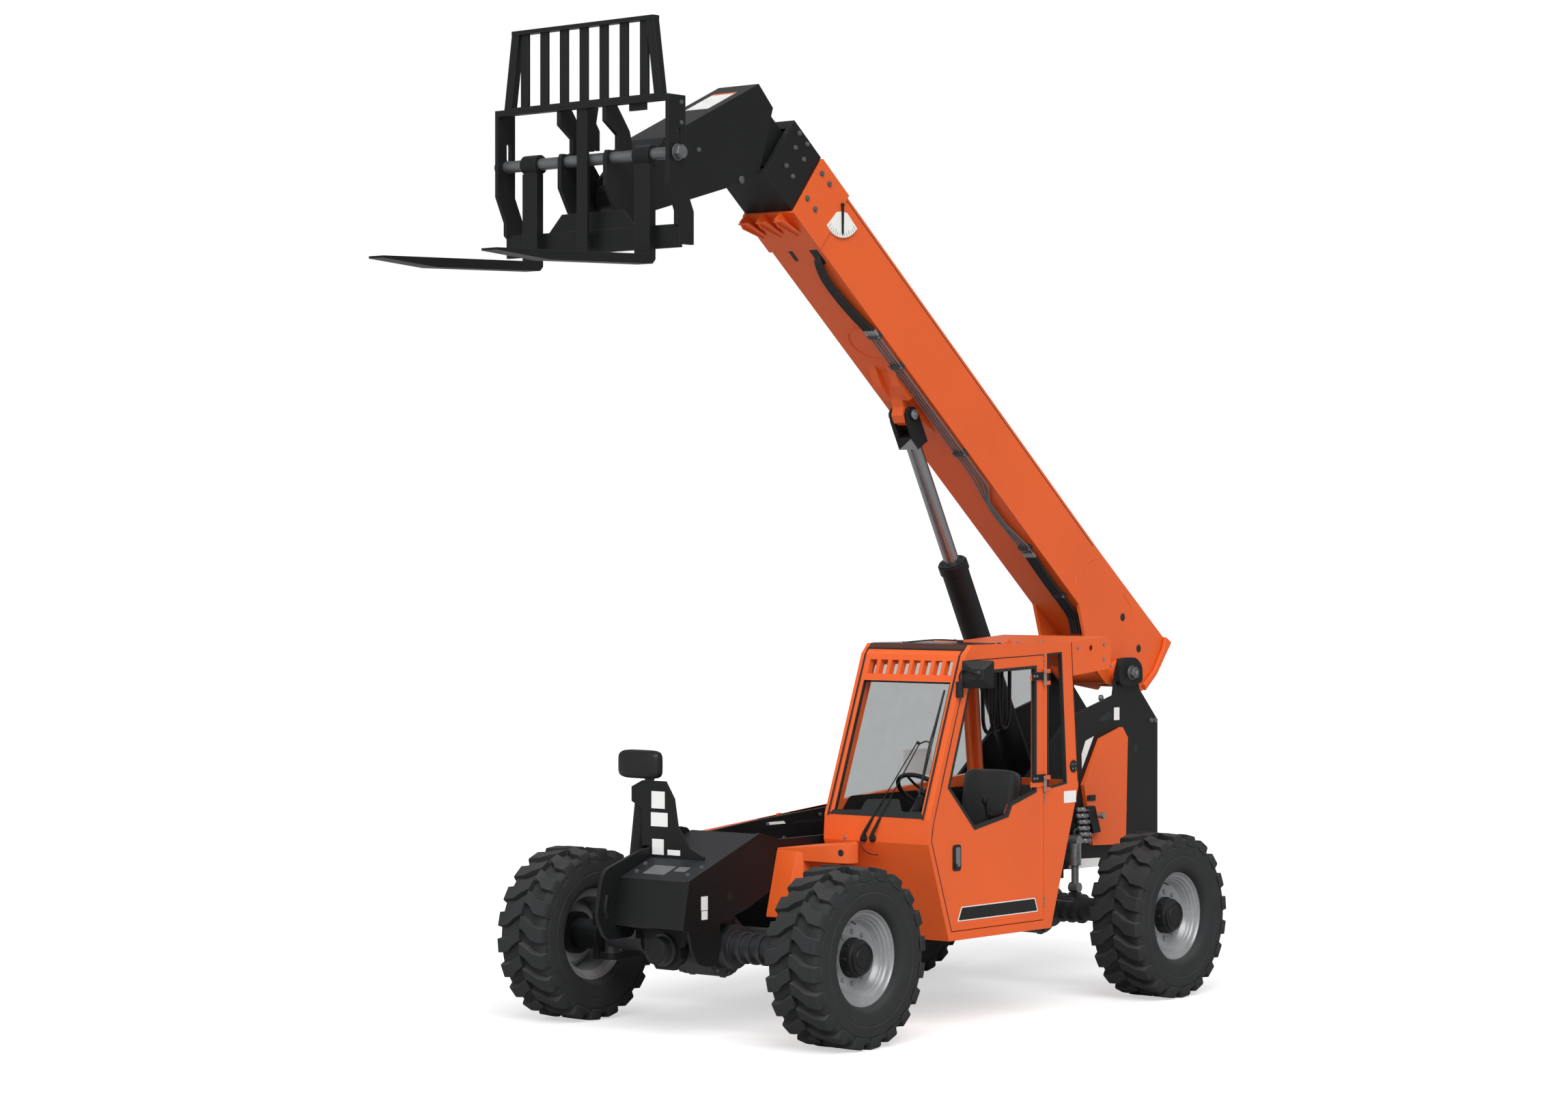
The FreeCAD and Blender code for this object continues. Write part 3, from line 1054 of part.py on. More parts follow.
def leaf(name, x0, x1, z):
    """Hinge leaf on the outer face between two stations."""
    return box(name, (x0, yb - 1, z - S.strap_high * HALF), (x1, leaf_out, z + S.strap_high * HALF))


def hinge_knuckle(name, low_z, length):
    return rod(name, (S.hinge_x, axis_y, low_z), "z", S.door_knuckle_radius, length)


shell_hinges = []
door_hinges = []
kh = S.door_knuckle_high
for z in (S.hinge_low_z, S.hinge_high_z):
    for low_z in (z - kh * 1.1, z + kh * HALF + 2):
        shell_hinges.append(hinge_knuckle("shell_knuckle", low_z, kh * 0.6 - 2))
    shell_hinges.append(box("shell_leaf", (S.hinge_x - S.strap_long, yb - 1, z - kh * 1.1),
                            (S.hinge_x - S.door_knuckle_radius * 0.4, leaf_out, z - kh * HALF - 2)))
    shell_hinges.append(box("shell_leaf", (S.hinge_x - S.strap_long, yb - 1, z + kh * HALF + 2),
                            (S.hinge_x - S.door_knuckle_radius * 0.4, leaf_out, z + kh * 1.1)))
    door_hinges.append(hinge_knuckle("door_knuckle", z - kh * HALF, kh))
    door_hinges.append(leaf("door_leaf", S.hinge_x + S.door_knuckle_radius * 0.4,
                            S.hinge_x + S.strap_long * 2, z))
label("cab_shell", fuse("cab_shell_hinged", cab_shell, *shell_hinges))

door_window = [
    (S.hinge_x + 80, S.cab_rear_kink_z - 10), (S.hinge_x + 340, S.cab_rear_kink_z - 80),
    (S.hinge_x + 380, S.cab_rear_kink_z - 150), (S.hinge_x + 730, S.cab_rear_kink_z - 210),
    (S.cab_nose_x - 200, S.cab_rear_kink_z + 60), (front_at(S.cab_roof_z - 170) - 110, S.cab_roof_z - 170),
    (S.hinge_x + 80, S.cab_roof_z - 150)]
label("cab_door", fuse("cab_door_hinged",
                       slab("cab_door", "XZ", door_outline, yb - wall, yb, door_window),
                       *door_hinges))
label("door_window", slab("door_window", "XZ", [
    (S.hinge_x + 80 + sg, S.cab_rear_kink_z - 10 + sg), (S.hinge_x + 340 + sg, S.cab_rear_kink_z - 80 + sg),
    (S.hinge_x + 380 + sg, S.cab_rear_kink_z - 150 + sg), (S.hinge_x + 730 - sg, S.cab_rear_kink_z - 210 + sg * 2),
    (S.cab_nose_x - 200 - sg * 2, S.cab_rear_kink_z + 60), (front_at(S.cab_roof_z - 170) - 110 - sg, S.cab_roof_z - 170 - sg),
    (S.hinge_x + 80 + sg, S.cab_roof_z - 150 - sg * 2)], yb - wall * HALF - S.glass, yb - wall * HALF))

screen_glass = slab("screen_glass", "XZ", [
    (front_at(screen_low + sg) - 10, screen_low + sg), (front_at(screen_low + sg) - 10 - S.glass, screen_low + sg),
    (front_at(S.visor_low_z - sg) - 10 - S.glass, S.visor_low_z - sg), (front_at(S.visor_low_z - sg) - 10, S.visor_low_z - sg)],
    ya + pillar + sg, yb - pillar - sg)
roof_glass = box("roof_glass", (S.cab_roof_rear_x + 520 + sg, ya + pillar + sg, S.cab_roof_z - wall + 10),
                 (S.cab_roof_front_x - 130 - sg, yb - pillar - sg, S.cab_roof_z - wall + 10 + S.glass))
rear_dx = (S.cab_roof_rear_x - S.cab_rear_kink_x) / (S.cab_roof_z - S.cab_rear_kink_z)
rear_glass = slab("rear_glass", "XZ", [
    (S.cab_rear_kink_x + 12 + rear_dx * 41, S.cab_rear_kink_z + 40 + sg), (S.cab_rear_kink_x + 12 + rear_dx * 41 + S.glass, S.cab_rear_kink_z + 40 + sg),
    (S.cab_roof_rear_x + 12 - rear_dx * 161 + S.glass, S.cab_roof_z - 160 - sg), (S.cab_roof_rear_x + 12 - rear_dx * 161, S.cab_roof_z - 160 - sg)],
    ya + pillar + sg, yb - pillar - sg)
quarter_glass = slab("quarter_glass", "XZ", [
    (S.hinge_x - 40 - sg, S.cab_rear_kink_z + sg), (S.hinge_x - 40 - sg, S.cab_roof_z - 70 - sg),
    (S.cab_roof_rear_x + 40 + sg, S.cab_roof_z - 60 - sg * 2), (S.cab_rear_kink_x + 50 + sg, S.cab_rear_kink_z + 30 + sg)],
    yb - wall * HALF - S.glass, yb - wall * HALF)
right_glass = slab("right_glass", "XZ", [
    (S.cab_rear_kink_x + 90 + sg, S.cab_rear_kink_z + 60 + sg), (S.cab_nose_x - 150 - sg * 2, S.cab_rear_kink_z - 40 + sg),
    (front_at(S.cab_roof_z - 140) - 120 - sg * 2, S.cab_roof_z - 140 - sg), (S.cab_roof_rear_x + 80 + sg * 2, S.cab_roof_z - 140 - sg)],
    ya + wall * HALF, ya + wall * HALF + S.glass)
label("cab_windows", group("cab_windows", screen_glass, roof_glass, rear_glass, quarter_glass, right_glass))

# ---------------------------------------------------------------- engine side
px0 = S.pod_rear_x
px1 = S.pod_front_x
tray_parts = [
    box("tray_floor", (px0, -S.pod_outer, S.pod_floor_z), (px1, -S.pod_inner, S.pod_floor_z + S.tray_plate)),
    box("tray_front", (px1 - S.tray_plate, -S.pod_outer, S.pod_floor_z), (px1, -S.pod_inner, S.pod_floor_z + 300)),
    box("tray_rear", (px0, -S.pod_outer, S.pod_floor_z), (px0 + S.tray_plate, -S.pod_inner, S.pod_floor_z + 300)),
    box("tray_inner", (px0, -S.pod_inner - S.tray_plate, S.pod_floor_z), (px1, -S.pod_inner, S.pod_top_z - 40)),
    box("tray_outer", (px0, -S.pod_outer, S.pod_floor_z), (px1, -S.pod_outer + S.tray_plate, S.pod_floor_z + 120))]
for x in (S.pod_rear_x + 200, S.pod_front_x - 300):
    tray_parts.append(box("tray_foot", (x, -S.pod_inner - 1, S.pod_floor_z), (x + 100, -half - S.seat_gap, S.pod_floor_z + 120)))
# the hood turns on knuckles along its sloping inner top edge
hinge_y = 0 - S.pod_inner - S.tray_plate - S.hinge_reach
pod_rise = sine(S.pod_slope) / cosine(S.pod_slope)


def pod_top(x):
    """Height of the hood's top at a station."""
    return S.pod_top_z + (px1 - x) * pod_rise


def edge_rod(name, x, radius, length):
    """Bar along the hood's sloping inner top edge, from its rear end forwards."""
    bar = doc.addObject("Part::Cylinder", name)
    bind(bar, "Radius", radius)
    bind(bar, "Height", length)
    place(bar, (x, hinge_y, pod_top(x)), (0, 1, 0), S.pod_slope + 90)
    return bar


hinge_stations = (S.pod_rear_x + 260, S.pod_front_x - 340)
notches = []
for x in hinge_stations:
    tray_parts.append(box("hinge_lug", (x, hinge_y + sg, S.pod_top_z - 90),
                          (x + 80, -S.pod_inner, pod_top(x + 80) - 2)))
    tray_parts.append(edge_rod("tray_knuckle", x, S.knuckle_radius, Size(80, "80")))
    notches.append(edge_rod("hood_notch", x - 3, S.knuckle_radius + 3, Size(86, "86")))
label("engine_tray", fuse("engine_tray", *tray_parts))
label("engine_block", box("engine_block", (px0 + 420, -S.pod_outer + 260, S.pod_floor_z + S.tray_plate + sg),
                          (px1 - 420, -S.pod_inner - 140, S.pod_top_z - 110)))
hood_low = S.pod_floor_z + 306
sheet_in = S.hood_sheet
hood_solid = slab("hood_out", "XZ", [(px0, hood_low), (px1, hood_low), (px1, pod_top(px1)),
                                     (px0, pod_top(px0))], -S.pod_outer, hinge_y)
hood_void = slab("hood_in", "XZ", [
    (px0 + sheet_in, hood_low - 1), (px1 - sheet_in, hood_low - 1),
    (px1 - sheet_in, pod_top(px1) - sheet_in), (px0 + sheet_in, pod_top(px0) - sheet_in)],
    -S.pod_outer + sheet_in, -S.pod_inner)
# air slots in the hood's outer face stand in front of the radiator
slot_pitch = (px1 - px0) * HALF / S.slot_count
air_slots = [box("air_slot", (px0 + 160 + slot_pitch * k, -S.pod_outer - 1, hood_low + 90),
                 (px0 + 160 + slot_pitch * (k + 0.6), -S.pod_outer + sheet_in + 1, hood_low + 330))
             for k in range(int(S.slot_count.value))]
hood_knuckles = [edge_rod("hood_knuckle", x + 81.6, S.knuckle_radius, Size(38, "38"))
                 for x in hinge_stations]
label("engine_hood", fuse("engine_hood", cut("hood_shell", hood_solid, hood_void, *air_slots, *notches),
                          *hood_knuckles))

# ---------------------------------------------------------------- covers
a0 = half + sg
fs = S.fender_sheet
x0f, x1f = S.fender_rear_x, S.fender_front_x
foot, over = S.fender_foot_z, S.fender_over_z
ys, yo = S.fender_skirt_y, S.fender_outer_y
top_rise = (S.fender_outer_top_z - S.fender_inner_top_z) / (yo - a0)


def fender_top(y):
    return S.fender_inner_top_z + (y - a0) * top_rise


fender_out = slab("fender_out", "YZ", [
    (a0, foot), (ys, foot), (ys, over), (yo, over), (yo, fender_top(yo)), (a0, fender_top(a0))],
    x0f, x1f)
fender_voids = [
    slab("fender_void", "YZ", [(y0 + fs, z0 - 1), (y1 - fs, z0 - 1),
                               (y1 - fs, fender_top(y1 - fs) - fs),
                               (y0 + fs, fender_top(y0 + fs) - fs)], x0f - 1, x1f - fs)
    for y0, y1, z0 in ((a0, ys, foot), (ys, yo, over))]
# the front flares forward towards its foot beside the frame
flare = slab("flare_out", "XZ", [(x1f - 1, foot), (S.fender_flare_x, foot),
                                 (x1f, S.fender_inner_top_z), (x1f - 1, S.fender_inner_top_z)],
             a0, S.fender_flare_y)
flare_void = slab("flare_in", "XZ", [(x1f - fs - 1, foot - 1), (S.fender_flare_x - fs * 1.6, foot - 1),
                                     (x1f - fs, S.fender_inner_top_z - 60),
                                     (x1f - fs - 1, S.fender_inner_top_z - 60)],
                  a0 + fs, S.fender_flare_y - fs)
corner = slab("fender_corner", "XY", [(x1f + 1, yo + 1), (x1f - S.fender_corner, yo + 1),
                                      (x1f - S.fender_corner * 0.3, yo - S.fender_corner * 0.3),
                                      (x1f + 1, yo - S.fender_corner)], over - 2,
              S.fender_outer_top_z + 10)
lamp_hole = rod("fender_hole", (x1f - 60, S.fender_hole_y, S.fender_hole_z), "x",
                S.fender_hole_radius, Size(80, "80"))
label("fender_front_left", cut("fender_front_left", fuse("fender_solid", fender_out, flare),
                               *fender_voids, flare_void, corner, lamp_hole))

label("rear_side_cover", slab("rear_side_cover", "XZ", [
    (S.cover_front_x, S.cover_low_z), (S.cover_rear_x, S.cover_low_z - 15),
    (S.cover_rear_x - 25, S.cover_top_z - 74), (S.cover_rear_x + 37, S.cover_top_z),
    (S.cover_rear_x + 299, S.cover_top_z - 71), (S.cover_front_x + 106, S.cover_low_z + 421)],
    half + sg, half + sg + S.cover_depth))

# roof extension over the hoses behind the cab
rear_run = (S.cab_roof_rear_x - S.cab_rear_kink_x) / (S.cab_roof_z - S.cab_rear_kink_z)


def cab_back(z):
    """Station just behind the cab's rear face at a height."""
    return S.cab_roof_rear_x - rear_run * (S.cab_roof_z - z) - sg * 2


hood_top = S.cab_roof_z
cover_out = [(cab_back(hood_top), hood_top), (S.hose_cover_rear_x + 60, hood_top + 26),
             (S.hose_cover_rear_x, hood_top - 8), (S.hose_cover_rear_x + 16, S.hose_cover_low_z + 36),
             (cab_back(S.hose_cover_low_z), S.hose_cover_low_z)]
cover_in = [(cab_back(hood_top - 8) + 1, hood_top - 8), (S.hose_cover_rear_x + 62, hood_top + 18),
            (S.hose_cover_rear_x + 9, hood_top - 14), (S.hose_cover_rear_x + 9, S.hose_cover_low_z - 40),
            (cab_back(S.hose_cover_low_z - 40) + 1, S.hose_cover_low_z - 40)]
label("hose_cover", cut("hose_cover", slab("hose_cover_out", "XZ", cover_out, ya, yb),
                        slab("hose_cover_in", "XZ", cover_in, ya + 8, yb - 8),
                        rod("hose_cover_hole", (S.hose_cover_rear_x + 230, yb - 20, hood_top - 46),
                            "y", Size(20, "20"), Size(40, "40"))))


def feature(name, shapes):
    """Document object around a ready shape."""
    obj = doc.addObject("Part::Feature", name)
    obj.Shape = Part.makeCompound(shapes) if len(shapes) > 1 else shapes[0]
    return obj


loops = []
for k in range(int(S.hose_count.value)):
    x0 = cab_back(S.hose_cover_low_z) - 60 - k * 42
    y = ya + 60 + k * 34
    low_z = S.hose_low_z + k * 16
    loops.append(cord([(x0, y, S.hose_cover_low_z + 90), (x0 - 4, y, low_z + 130),
                       (x0 - 12, y, low_z + 60), (x0 - 34, y, low_z + 14), (x0 - 64, y, low_z),
                       (x0 - 94, y, low_z + 14), (x0 - 116, y, low_z + 60),
                       (x0 - 124, y, low_z + 130), (x0 - 128, y, S.hose_cover_low_z + 90)],
                      S.hose_radius))
rack_low = Vector(num(cab_back(S.hose_cover_low_z)) - 290, num(ya) + 8.3,
                  num(S.hose_cover_low_z) + 70)
loops.append(Part.makeBox(250, 150, 18, rack_low))
label("hose_loops", feature("hose_loops", [loops[0].multiFuse(loops[1:])]))

# ---------------------------------------------------------------- cab fittings
seat_y = S.seat_side
seat_base = box("seat_base", (S.seat_x - 190, seat_y - 170, S.cab_floor_z + wall + sg),
                (S.seat_x + 190, seat_y + 170, S.seat_z - 130))
seat_pan = slab("seat_pan", "XZ", [
    (S.seat_x - 230, S.seat_z - 130), (S.seat_x + 250, S.seat_z - 130),
    (S.seat_x + 275, S.seat_z - 30), (S.seat_x + 220, S.seat_z), (S.seat_x - 180, S.seat_z - 20),
    (S.seat_x - 230, S.seat_z - 60)], seat_y - 240, seat_y + 240)
seat_back = slab("seat_back", "XZ", [
    (S.seat_x - 230, S.seat_z - 100), (S.seat_x - 120, S.seat_z - 30),
    (S.seat_x - 190, S.seat_z + 440), (S.seat_x - 230, S.seat_z + 470),
    (S.seat_x - 290, S.seat_z + 450), (S.seat_x - 300, S.seat_z + 380)],
    seat_y - 220, seat_y + 220)
label("seat", fuse("seat", seat_base, seat_pan, seat_back))
label("dash_console", slab("dash_console", "XZ", [
    (S.dash_rear_x + 60, S.cab_floor_z + wall + sg), (S.cab_sill_x - wall - 8, S.cab_floor_z + wall + sg),
    (S.cab_nose_x - wall - 12, S.cab_nose_z - 20), (S.cab_nose_x - wall - 16, S.cowl_z - 30),
    (S.dash_rear_x + 90, S.cowl_z), (S.dash_rear_x, S.cowl_z - 40), (S.dash_rear_x, S.cowl_z - 150)],
    ya + wall + 8, yb - wall - 120))
column_length = ((S.dash_rear_x - sg - S.steer_wheel_x - S.column_radius * cosine(S.column_rake))
                 / sine(S.column_rake))
grip = S.grip_radius
wheel = turned("wheel_ring", [(S.steer_wheel_radius + grip * a, grip * b) for a, b in
                              ((1, -0.4), (1, 0.4), (0.4, 1), (-0.4, 1), (-1, 0.4), (-1, -0.4),
                               (-0.4, -1), (0.4, -1))], "Z")
spokes = fuse("wheel_spokes", rod("wheel_hub", (0, 0, -30), "z", Size(38, "38"), Size(44, "44")),
              box("wheel_spoke", (0 - S.steer_wheel_radius, -14, -8), (S.steer_wheel_radius, 14, 2)),
              box("wheel_spoke", (-14, -S.steer_wheel_radius, -8), (14, Size(0, "0"), 2)),
              rod("column", (0, 0, -column_length), "z", S.column_radius, column_length - 20))
label("steering_wheel", fuse("steering_wheel", wheel, spokes),
      (S.mid_station + S.steer_wheel_x, seat_y, S.steer_wheel_z), (0, 1, 0), 0 - S.column_rake)

# mirrors: a shell with rounded corners on a bent arm
def mirror_shell(name, x, y, z, across, up, deep):
    """Mirror housing that faces back, with its four corners taken off."""
    c = 26
    return slab(name, "YZ", [
        (y - across * HALF + c, z - up * HALF), (y + across * HALF - c, z - up * HALF),
        (y + across * HALF, z - up * HALF + c), (y + across * HALF, z + up * HALF - c),
        (y + across * HALF - c, z + up * HALF), (y - across * HALF + c, z + up * HALF),
        (y - across * HALF, z + up * HALF - c), (y - across * HALF, z - up * HALF + c)],
        x, x + deep)


mx, my, mz = S.cab_mirror_x, S.cab_mirror_y, S.cab_mirror_z
label("cab_mirror", fuse("cab_mirror",
                         mirror_shell("cab_mirror_shell", mx, my, mz, S.cab_mirror_wide, S.cab_mirror_high,
                                      S.cab_mirror_deep),
                         box("cab_mirror_foot", (mx + 10, yb + sg, mz - 40), (mx + 60, yb + 16, mz + 40)),
                         rod("cab_mirror_arm", (mx + 36, yb + 8, mz), "y", Size(12, "12"), my - yb - 20)))
front_z = S.post_top_z + S.front_mirror_rise + S.front_mirror_high * HALF
label("front_mirror", fuse("front_mirror",
                           mirror_shell("front_mirror_shell", S.post_x - 20, S.front_mirror_y, front_z,
                                        S.front_mirror_wide, S.front_mirror_high, S.front_mirror_deep),
                           box("front_mirror_foot", (S.post_x, -S.post_outer + 20, S.post_top_z + sg),
                               (S.post_x + S.post_plate, -S.post_inner - 20,
                                S.post_top_z + S.front_mirror_rise + 10))))

# ---------------------------------------------------------------- cylinders, valves
def upright(name, x, y, low_z, high_z, body_radius, rod_radius, split):
    """Upright cylinder: body above, rod below, eyes at both ends."""
    return fuse(name,
                rod(name + "_body", (x, y, low_z + split), "z", body_radius, high_z - low_z - split - 20),
                rod(name + "_rod", (x, y, low_z + 10), "z", rod_radius, split),
                rod(name + "_eye", (x, y - 36, low_z), "y", body_radius * 0.8, Size(72, "72")),
                rod(name + "_eye", (x, y - 36, high_z), "y", body_radius * 0.8, Size(72, "72")))


label("sway_cylinder", fuse("sway_cylinder",
                            rod("sway_body", (0, 0, sway_length * 0.42), "z", S.sway_radius,
                                sway_length * 0.52),
                            rod("sway_rod", (0, 0, 10), "z", S.sway_radius * 0.5, sway_length * 0.5),
                            rod("sway_eye", (0, -36, 0), "y", S.sway_eye, Size(72, "72")),
                            rod("sway_eye", (0, -36, sway_length), "y", S.sway_eye, Size(72, "72"))),
      (S.mid_station + sway_x, 0 - sway_low_side, S.sway_low_z), (1, 0, 0), 0 - S.sway_lean)
label("stabiliser_cylinder", upright("stabiliser_cylinder", rear_x, S.stab_side, S.stab_low_z,
                                     S.stab_high_z, S.stab_radius, S.stab_radius * 0.6,
                                     Size(150, "150")))
valve_parts = [box("valve_plate", (S.valve_x - 20, half + sg, S.valve_z), (S.valve_x + 20, half + 120, S.valve_z + 260)),
               box("valve_bar", (S.valve_x - 90, half + sg + 1, S.valve_z + 60), (S.valve_x + 1, half + 90, S.valve_z + 200))]
for k in range(5):
    valve_parts.append(rod("valve_fitting", (S.valve_x + 19, half + 60, S.valve_z + 30 + k * 48), "x",
                           Size(15, "15"), Size(70, "70")))
label("valve_block", fuse("valve_block", *valve_parts))

# ---------------------------------------------------------------- on the boom
dial_y = bw + S.collar_swell + sg
fan = [(S.dial_along, S.dial_over)] + [
    (S.dial_along + S.dial_radius * cosine(turn - S.boom_angle),
     S.dial_over + S.dial_radius * sine(turn - S.boom_angle))
    for turn in (-90 + S.dial_half_angle * (k * 0.5 - 1) for k in range(5))]
label("angle_dial", fuse("angle_dial", slab("dial_fan", "XZ", fan, dial_y, dial_y + 5),
                         rod("dial_hub", (S.dial_along, dial_y, S.dial_over), "y",
                             Size(24, "24"), Size(12, "12"))),
      boom_at, boom_axis, S.boom_angle)

lines = []
line_x = [S.line_start, S.line_start + 300, S.line_bend - 160, S.line_bend + 160, eye - 400,
          eye + 300, S.line_end - 300, S.line_end]
for k in range(int(S.line_count.value)):
    y1 = bw - 14 - k * 18
    y2 = bw - 50 - k * 18
    deep = low - 22
    pts = []
    for i, u in enumerate(line_x):
        pts.append((u, y2 if i < 3 else y1, deep))
    lines.append(pts)
tubes = []
for points in lines:
    tubes.append(cord(points, S.line_radius))
clamps = []
for u, y in ((S.line_start + 60, 120), (S.line_bend - 220, 120), (eye - 360, 84),
             (eye + 340, 84), (S.line_end - 60, 84)):
    clamps.append(Part.makeBox(36, 74, 30, Vector(num(u), num(bw) - y, num(low) - 30.3)))
label("boom_lines", feature("boom_lines", [tubes[0].multiFuse(tubes[1:] + clamps)]),
      boom_at, boom_axis, S.boom_angle)

# ---------------------------------------------------------------- check, export
doc.recompute()
faults = []
for obj in doc.Objects:
    if "Invalid" in obj.State or "Error" in obj.State:
        faults.append("%s: %s" % (obj.Name, obj.State))
for name, obj in exports:
    if obj.Shape.isNull() or not obj.Shape.isValid():
        faults.append("%s: bad shape" % name)
if faults:
    raise SystemExit("\n".join(faults))
os.makedirs("parts", exist_ok=True)
for name, obj in exports:
    obj.Shape.exportStep("parts/%s.step" % name)
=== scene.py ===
"""Telescopic forklift: paint, rubber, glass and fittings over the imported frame."""
import json
import math
import bmesh
import bpy
from bpy.props import FloatProperty, FloatVectorProperty, IntProperty, PointerProperty
from mathutils import Matrix, Vector

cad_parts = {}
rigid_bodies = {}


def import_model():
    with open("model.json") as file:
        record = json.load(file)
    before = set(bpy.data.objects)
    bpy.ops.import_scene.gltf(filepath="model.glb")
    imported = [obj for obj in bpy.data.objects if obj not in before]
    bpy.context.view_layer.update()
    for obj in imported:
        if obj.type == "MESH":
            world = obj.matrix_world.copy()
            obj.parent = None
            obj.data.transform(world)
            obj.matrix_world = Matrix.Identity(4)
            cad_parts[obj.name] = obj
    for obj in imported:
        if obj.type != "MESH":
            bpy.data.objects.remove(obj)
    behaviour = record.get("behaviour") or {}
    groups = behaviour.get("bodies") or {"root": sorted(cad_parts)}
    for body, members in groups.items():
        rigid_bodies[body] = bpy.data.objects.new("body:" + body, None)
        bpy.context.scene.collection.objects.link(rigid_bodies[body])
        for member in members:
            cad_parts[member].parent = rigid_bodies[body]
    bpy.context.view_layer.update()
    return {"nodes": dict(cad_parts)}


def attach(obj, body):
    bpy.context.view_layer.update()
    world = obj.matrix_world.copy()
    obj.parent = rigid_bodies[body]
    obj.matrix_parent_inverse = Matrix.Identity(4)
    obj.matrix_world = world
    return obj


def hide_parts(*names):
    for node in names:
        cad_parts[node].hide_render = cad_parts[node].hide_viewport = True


bl_info = {
    "name": "Telescopic forklift dressing",
    "version": (1, 0, 0),
    "blender": (4, 5, 0),
    "location": "View3D > Sidebar > Forklift",
    "description": "Paints the forklift and adds its tyres, trims, hoses and small fittings",
    "category": "Object",
}

for leftover in list(bpy.data.objects):
    bpy.data.objects.remove(leftover, do_unlink=True)
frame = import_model()

MM = 0.001
STATION = -0.490          # the truck's middle station in the frame
HALF_TRACK, AXLE_X, AXLE_Z = 1103, 1665, 548
CAB_SIDE = 1190           # outer skin of the cab's left side
FRAME_SIDE = 293          # outer face of the left frame plate
CHANNEL_SIDE = -268       # inner face of the right frame plate
ROOF = 2400
BOOM_TURN = math.radians(39)
HOOD_TURN = math.radians(4.5)

AHEAD, LEFT, UP = Vector((1, 0, 0)), Vector((0, 1, 0)), Vector((0, 0, 1))
ON_LEFT, ON_FRONT, ON_TOP = (AHEAD, UP, LEFT), (LEFT, UP, AHEAD), (AHEAD, LEFT, UP)
BOOM_ALONG = Vector((math.cos(BOOM_TURN), 0, math.sin(BOOM_TURN)))
BOOM_OVER = Vector((-math.sin(BOOM_TURN), 0, math.cos(BOOM_TURN)))
SCREEN_OUT = Vector((1000, 0, 370)).normalized()
BOTH = (1, -1)            # left and right
WELD = 2e-5               # points nearer than this are one
LIFT_EYE = 2789           # the lift cylinder's upper pin, along the boom from its pivot


def linear(code):
    """Turn an sRGB hex colour into Blender's linear one."""
    values = [int(code[i:i + 2], 16) / 255 for i in (1, 3, 5)]
    return tuple(v / 12.92 if v <= 0.04045 else ((v + 0.055) / 1.055) ** 2.4 for v in values) + (1,)


def at(x, y, z):
    """Point of the truck, in millimetres from its middle station."""
    return Vector((x * MM + STATION, y * MM, z * MM))


def side_on(y, *points):
    """Points of an upright plane along the truck, from (x, z) pairs."""
    return [at(x, y, z) for x, z in points]


def on_boom(along, over, across):
    """Point of the boom: along it and over it from the pivot, in millimetres."""
    return at(-2470, across, 2130) + (BOOM_ALONG * along + BOOM_OVER * over) * MM


def on_screen(y, z, out=0):
    """Point on the windscreen's plane, out millimetres in front of it."""
    lean = 960 - (z - 1336) * 0.37 if z > 1336 else 968
    return at(lean, y, z) + SCREEN_OUT * out * MM


def turns(count, start=0.0):
    """Angles that divide the circle evenly."""
    return [start + 2 * math.pi * k / count for k in range(count)]


def spoke(angle, radius=1.0):
    """Vector of a wheel's plane at an angle."""
    return Vector((math.cos(angle), 0, math.sin(angle))) * radius


WHEELS = [("%s_%s" % (end, side), at(x, s * HALF_TRACK, AXLE_Z), Vector((0, s, 0)))
          for end, x in (("front", AXLE_X), ("rear", -AXLE_X)) for side, s in (("left", 1), ("right", -1))]


# ------------------------------------------------------------------ sizes and colours
class ForkliftSizes(bpy.types.PropertyGroup):
    seal_width: FloatProperty(name="Seal width", description="Visible width of the rubber window seals",
                              default=0.020, unit="LENGTH")
    lug_height: FloatProperty(name="Lug height", description="Height of the tyre lugs over the tread",
                              default=0.041, unit="LENGTH")
    lugs_per_row: IntProperty(name="Lugs per row", description="Lugs in each of a tyre's two rows", default=20)
    wheel_nuts: IntProperty(name="Wheel nuts", description="Nuts round each hub", default=10)
    bolt_size: FloatProperty(name="Bolt size", description="Width of the plate bolts across their flats",
                             default=0.030, unit="LENGTH")
    hose_size: FloatProperty(name="Hose size", description="Outer diameter of the cab hoses",
                             default=0.026, unit="LENGTH")


class ForkliftColours(bpy.types.PropertyGroup):
    orange: FloatVectorProperty(name="Orange", description="Enamel of the cab, boom and covers",
                                subtype="COLOR", size=4, default=linear("#E25E25"))
    black: FloatVectorProperty(name="Black", description="Powder coat of the frame and carriage",
                               subtype="COLOR", size=4, default=linear("#141516"))
    rim: FloatVectorProperty(name="Rim grey", description="Enamel of the wheel rims",
                             subtype="COLOR", size=4, default=linear("#8F9193"))
    rubber: FloatVectorProperty(name="Tyre", description="Rubber of the tyres",
                                subtype="COLOR", size=4, default=linear("#292A2B"))
    label: FloatVectorProperty(name="Label white", description="Film of the blank labels",
                               subtype="COLOR", size=4, default=linear("#ECECEA"))


